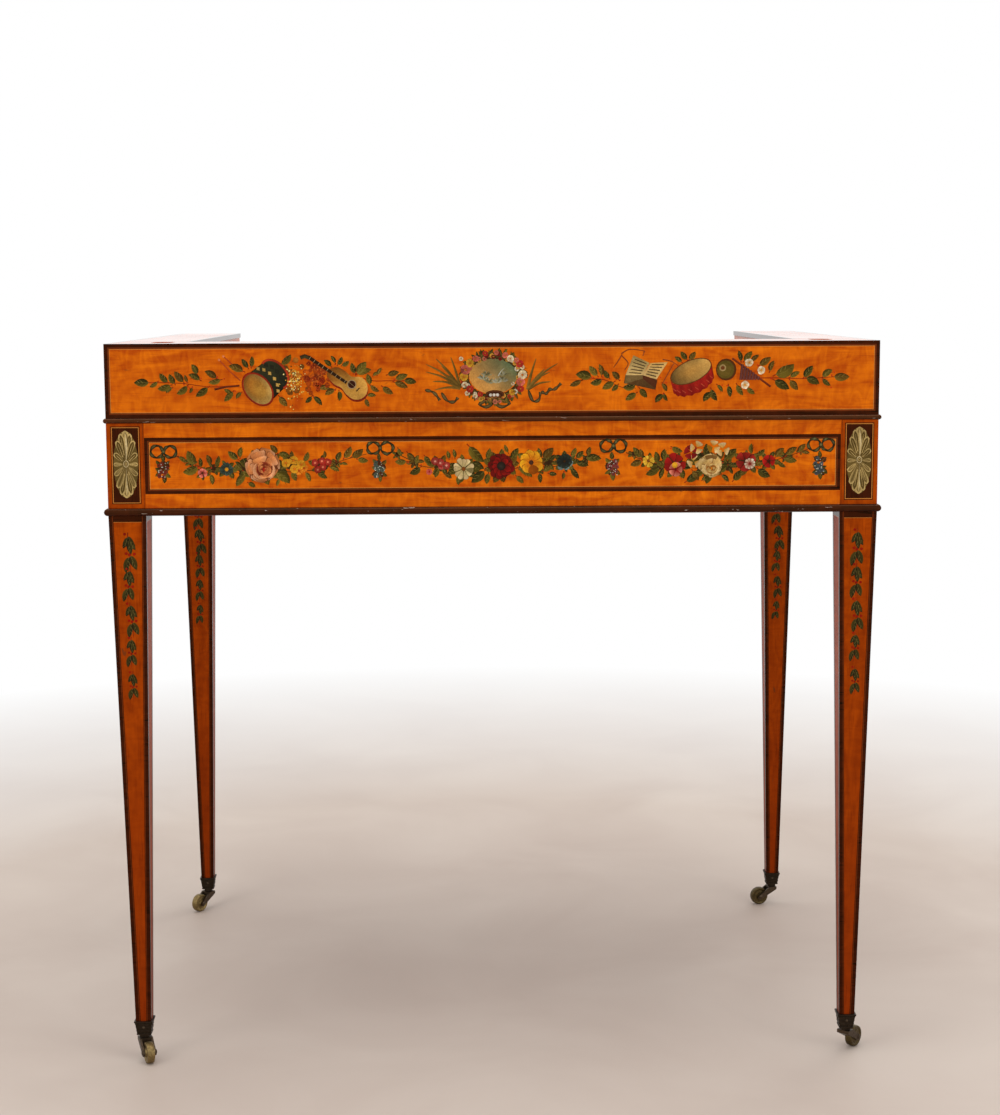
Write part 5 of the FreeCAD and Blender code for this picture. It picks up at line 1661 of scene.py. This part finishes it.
def side_flowers(face, rng):
    """The flowers of one side: a rose in the middle of the branch and of the swag, and smaller
    ones to its left and right."""
    art = Painting(face, rng)
    for x, y, radius in ((0, 826, 17), (0, 722, 16), (-28, 818, 10), (28, 818, 10), (-31, 716, 10),
                         (31, 716, 10), (-110, 715, 9), (110, 715, 9)):
        art.nosegay((x, y), radius, 7 if x else 9)
    cream = tint(240, 214, 160)
    art.rose((0, 826), 18, SALMON, HEART)
    art.rose((0, 722), 16, cream, ORANGE)
    for sign in (-1, 1):
        art.florets(((sign * 44, 824), (sign * 50, 819), (sign * 46, 814)), 4.6, GOLD, AMBER)
        art.florets(((sign * 70, 716), (sign * 78, 719), (sign * 78, 711)), 4.4, SCARLET, BLUSH)
        art.daisy((sign * 28, 818), 9, 8, SCARLET, tint(196, 40, 34), tint(60, 30, 20))
        art.daisy((sign * 31, 716), 10, 9, STRAW, cream, UMBER)
        art.daisy((sign * 110, 715), 8, 6, tint(214, 120, 20), tint(240, 178, 46), SOOT)
        art.bow((sign * 256, 744), 5.6)
    return art.mesh("flowers")


class SidePaintingOperator(bpy.types.Operator):
    """Paint a branch on each gallery side and a swag on each side of the frieze"""
    bl_idname = "desk.side_painting"
    bl_label = "Painting on the sides"

    def execute(self, context):
        rng = random.Random(9)
        pair = Painting(FLAT, rng)
        for a, b, c, d in ((-0.5, 0, -12, 9), (0.5, 3, 11, 14), (-0.5, 9, -8, 19)):
            pair.leaf((a, b), (c, d), 2, 0.5)
        pair.stem([(0, -6), (0.6, 4), (0, 16)])
        for spot in ((3, -3), (-5, 1)):
            pair.dot(spot, 1.2, BERRY, 5)
        meshes = []
        for face in (RIGHT, LEFT):
            paths = [face.path(smooth([(sign * x, y) for x, y in line], 6))
                     for line in (((28, 826), (110, 829), (200, 824), (272, 826)),
                                  ((30, 719), (110, 713), (190, 722), (255, 741)))
                     for sign in (-1, 1)]
            meshes.append(along("branch", paths, pair.mesh("pair"), "flower paint", **{
                "Count": 12, "First size": 1.2, "Last size": 0.8, "Size spread": 0.15,
                "Turn spread": 0.25, "Seed": 7}))
            meshes.append(side_flowers(face, rng))
        new_piece("side_painting", joined("side_painting", meshes), "flower paint")
        return {"FINISHED"}


# the gilt lines round the leather, each with its distance inwards and its width
GILT_LINES, STAMP_LINE = ((0, 0.9), (2, 0.5), (11, 0.5), (12.6, 0.9)), 6.8


class LeatherOperator(bpy.types.Operator):
    """Finish the writing leather and its gilt border"""
    bl_idname = "desk.leather"
    bl_label = "Leather and gilding"

    def execute(self, context):
        dress("tooled leather", "writing_leather")
        low, high = (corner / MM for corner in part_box("writing_leather"))
        face = Face((0, 0, high.z), (1, 0, 0), (0, 1, 0))
        border = inset((low.x, low.y, high.x, high.y), sizes().leather_border / MM)
        lines = Relief(face, sizes().relief)
        for step, width in GILT_LINES:
            lines.frame(inset(border, step), width, 0.5)
        stamp = Painting(FLAT)
        for angle in angles(4, pi / 4)[:-1]:
            stamp.ribbon([oval((0, 0), reach, reach, angle) for reach in (0, 1.6, 3.2)],
                         lens(1.5), WHITE, 4 / 3)
        stamp.dot((0, 0), 0.9, WHITE, 2)
        stamps = along("stamps", [face.path(corners(inset(border, STAMP_LINE)), True)],
                       stamp.mesh("stamp"), "gilding", Count=sizes().stamps)
        new_piece("leather_gilding", joined("gilding", [lines.mesh("lines"), stamps]), "gilding")
        return {"FINISHED"}


def corner_cut(width, height, corner):
    """A rectangle with its corners cut off."""
    across, up = width / 2, height / 2
    return [(across, -up + corner), (across, up - corner), (across - corner, up),
            (-across + corner, up), (-across, up - corner), (-across, -up + corner),
            (-across + corner, -up), (across - corner, -up)]


OUT = (0, -1, 0)
# turns a flat plate upright, with its upper side to the front
STAND = Matrix(((1, 0, 0, 0), (0, 0, -1, 0), (0, 1, 0, 0), (0, 0, 0, 1)))
# a handle's plate and its line of beads, with their cut corners, its posts and the escutcheon
PLATE, PLATE_BEADS, POST_LINE, ESCUTCHEON = (88, 30, 9), (83.6, 25.6, 8), 24.5, (20, 13, 4)
PLATE_THICK, LOCK_HALF, LOCK_DROP, LOCK_THICK = 1.2, 25, 15, 9
KEY_HEIGHT = 0.754
KEYHOLE = ((1.5, -3.5), (1.5, 2), (0.6, 3.5), (-0.6, 3.5), (-1.5, 2), (-1.5, -3.5))
POST = ((0, 0), (5.6, 0), (5.6, 1.8), (4.2, 2.6), (3.0, 3.8), (2.7, 7.5), (3.4, 9.4), (4.2, 11),
        (4.4, 12.6), (3.9, 14.8), (2.4, 16.4), (0, 16.9))
BEAD = ((0, -0.5), (0.85, -0.3), (0.9, 0.2), (0.6, 0.7), (0, 0.9))
# one half of a bail, from its pin outwards and down, and the collars on its grip
BAIL = [(20, 0), (29, 0), (31.6, -1.5), (32.4, -5), (31, -10), (28.4, -14.5), (26, -19.5),
        (20, -22.9), (11, -23.5)]
BAIL_DROP = -23.6
COLLAR = ((0, -1.4), (2.9, -1.2), (3.3, 0), (2.9, 1.2), (0, 1.4))
KNOB = ((0, 0), (4.6, 0), (4.4, 1.2), (3.0, 2.0), (2.5, 4.0), (2.8, 5.8), (4.6, 7.0), (6.4, 8.6),
        (7.0, 10.4), (6.8, 12.2), (5.6, 13.6), (4.6, 13.9), (4.3, 13.5), (3.2, 14.6), (0, 15.0))


def standing(mesh, x, z):
    """Set a plate upright on the drawer fronts, at a place in metres."""
    mesh.transform(Matrix.Translation((x, -BACK_LINE * MM, z)) @ STAND)
    return mesh


def make_plates(drawer):
    """Back plates with a beaded edge, turned posts, an escutcheon and the lock behind it."""
    low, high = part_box(drawer + "_brasses")
    middle = (low.x + high.x) / 2
    meshes, paths = [], []
    for joint in frame["joints"]:
        if joint["parent"] != drawer or joint["type"] != "hinge":
            continue
        x, _, z = joint["pos_m"]
        meshes.append(standing(plate(corner_cut(*PLATE), 0, PLATE_THICK, 0.7), x, z))
        rim = Face((x / MM, -BACK_LINE - PLATE_THICK + 0.05, z / MM), (1, 0, 0))
        paths.append(rim.path(corner_cut(*PLATE_BEADS), True))
        meshes += [moved(turned(POST, 24), (x + side * POST_LINE * MM, -BACK_LINE * MM, z), OUT)
                   for side in (-1, 1)]
    meshes.append(along("beads", paths, rounded(turned(BEAD, 8)), "brass", Count=sizes().beads))
    meshes.append(standing(plate(corner_cut(*ESCUTCHEON), 0, PLATE_THICK, 0.5), middle,
                           KEY_HEIGHT))
    lock = plate([(LOCK_HALF, -LOCK_DROP), (LOCK_HALF, LOCK_DROP), (-LOCK_HALF, LOCK_DROP),
                  (-LOCK_HALF, -LOCK_DROP)], 0, LOCK_THICK, 0.4)
    meshes.append(moved(lock, (middle, high.y - LOCK_THICK * MM, high.z - LOCK_DROP * MM),
                        (0, 1, 0)))
    piece = new_piece(drawer + "_mounts", rounded(joined("mounts", meshes)), "brass",
                      drawer)
    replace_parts(piece, drawer + "_brasses")
    # painted shade: a dark rosewood plate stands for the shaded opening of the keyhole
    slot = standing(plate(KEYHOLE, 0, PLATE_THICK + 0.1, 0), middle, KEY_HEIGHT)
    new_piece(drawer + "_keyhole", slot, "rosewood_x", drawer)


def make_bail(name):
    """A swan curved handle that swells towards its middle."""
    line = smooth([(-x, y) for x, y in BAIL] + [(0, BAIL_DROP)] + BAIL[::-1])
    parts = [tube([(x, 0, y) for x, y in line], 2.0, 12, 0.7)]
    parts += [moved(turned(COLLAR, 16), (x * MM, 0, BAIL_DROP * MM), (1, 0, 0))
              for x in (-9, 0, 9)]
    whole = moved(rounded(joined(name, parts)), JOINTS[name + "_hinge"]["pos_m"])
    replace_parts(new_piece(name + "_swan", whole, "brass", name), name)


def make_knob(name):
    """A turned brass knob with a ringed head."""
    low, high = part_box(name)
    knob = moved(turned(KNOB, 28), ((low.x + high.x) / 2, high.y, (low.z + high.z) / 2), OUT)
    piece = new_piece(name + "_turned", rounded(knob), "brass", name[:-len("_knob")])
    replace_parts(piece, name)


class BrassOperator(bpy.types.Operator):
    """Make the handles, plates, escutcheons and knobs of the drawers"""
    bl_idname = "desk.brasses"
    bl_label = "Drawer brasses"

    def execute(self, context):
        for name in nodes_ending("_brasses"):
            make_plates(name[:-len("_brasses")])
        for name in NODES:
            if name.startswith("frieze_bail_"):
                make_bail(name)
        for name in nodes_ending("_knob"):
            make_knob(name)
        return {"FINISHED"}


# one half of a wheel's section, the head of its axle and a screw of its socket
TREAD = [(2.1, 5.5), (4.6, 5.5), (5.2, 3.9), (9.0, 3.5), (9.8, 4.2), (11.4, 4.6), (12.5, 4.2),
         (13.0, 2.2)]
AXLE_HEAD = ((0, 8.0), (2.9, 8.0), (2.9, 8.7), (2.0, 9.3), (0, 9.5))
SCREW = ((0, -0.3), (1.5, -0.3), (1.5, 0.1), (1.1, 0.45), (0, 0.6))
# the sockets' widths at two heights, and their rings: height, thickness, how far they stand out
CUP_LOW, CUP_HIGH = (31.0, 16.0), (49.0, 21.1)
SCREW_HEIGHT, SCREW_OUT = 41, 10
CUP_RINGS = ((31.4, 1.6, 1.6), (36.0, 1.2, 1.1), (40.6, 1.0, 0.9), (45.0, 1.2, 1.2))


class CastorOperator(bpy.types.Operator):
    """Finish the castor sockets and forks and make the wheels"""
    bl_idname = "desk.castors"
    bl_label = "Castors"

    def execute(self, context):
        dress("socket bronze", "castor_cups")
        dress("dark bronze", *["castor_fork_" + where for where in CORNERS])
        rings, paths = [], []
        profile = [(radius, -height) for radius, height in TREAD] + TREAD[::-1]
        outs = [(1, 0, 0), (0, 1, 0), (-1, 0, 0), (0, -1, 0)]
        for where in CORNERS:
            joint = JOINTS["wheel_spin_" + where]
            place, axis = joint["pos_m"], Vector(joint["axis"])
            wheel = rounded(moved(turned(profile, 48, closed=True), place, axis))
            # painted shade: the wheels at the left corners take the darkened copy of the wheel
            # brass
            finish = "wheel brass" if where.endswith("right") else "dark wheel"
            piece = new_piece("wheel_" + where + "_rim", wheel, finish, "wheel_" + where)
            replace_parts(piece, "castor_wheel_" + where)
            heads = [moved(turned(AXLE_HEAD, 14), place, axis * sign) for sign in (-1, 1)]
            new_piece("castor_axle_" + where, rounded(joined("axle", heads)), "dark bronze",
                      "castor_" + where)
            x, y = leg_middle(where)
            for low, height, grow in CUP_RINGS:
                share = (low - CUP_LOW[0]) / (CUP_HIGH[0] - CUP_LOW[0])
                wide = between(CUP_LOW[1], CUP_HIGH[1], share) + grow
                band = plate(corner_cut(wide, wide, 0.8), low, low + height, 0.3)
                rings.append(moved(band, (x * MM, y * MM, 0)))
            middle = Vector((x, y, SCREW_HEIGHT))
            paths.append(([(middle + Vector(out) * SCREW_OUT) * MM for out in outs], True, outs))
        screws = along("castor_screws", paths, rounded(turned(SCREW, 14)), "dark bronze", Count=4)
        new_piece("castor_screws", screws, "dark bronze")
        new_piece("castor_rings", rounded(joined("rings", rings)), "socket bronze")
        return {"FINISHED"}


PIECES = (VeneerOperator, InlayOperator, PateraOperator, PaintingOperator, HuskOperator,
          SidePaintingOperator, LeatherOperator, BrassOperator, CastorOperator, StageOperator)


class DeskPanel(bpy.types.Panel):
    """The pieces of the desk, and the sizes and colours they are made from"""
    bl_idname = "VIEW3D_PT_carlton_desk"
    bl_label = "Carlton house desk"
    bl_space_type = "VIEW_3D"
    bl_region_type = "UI"
    bl_category = "Desk"

    def draw(self, context):
        for group in (context.scene.desk_sizes, context.scene.desk_colours):
            box = self.layout.box()
            for name in group.bl_rna.properties.keys():
                if name not in ("rna_type", "name"):
                    box.prop(group, name)
        for operator in PIECES:
            self.layout.operator(operator.bl_idname)


CLASSES = (DeskSizes, DeskColours) + PIECES + (DeskPanel,)


def register():
    for item in CLASSES:
        bpy.utils.register_class(item)
    bpy.types.Scene.desk_sizes = bpy.props.PointerProperty(type=DeskSizes)
    bpy.types.Scene.desk_colours = bpy.props.PointerProperty(type=DeskColours)


def unregister():
    del bpy.types.Scene.desk_colours
    del bpy.types.Scene.desk_sizes
    for item in reversed(CLASSES):
        bpy.utils.unregister_class(item)


def main():
    """Register the add-on and make every piece."""
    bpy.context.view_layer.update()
    register()
    for operator in PIECES:
        category, name = operator.bl_idname.split(".")
        getattr(getattr(bpy.ops, category), name)()


if __name__ == "__main__":
    main()
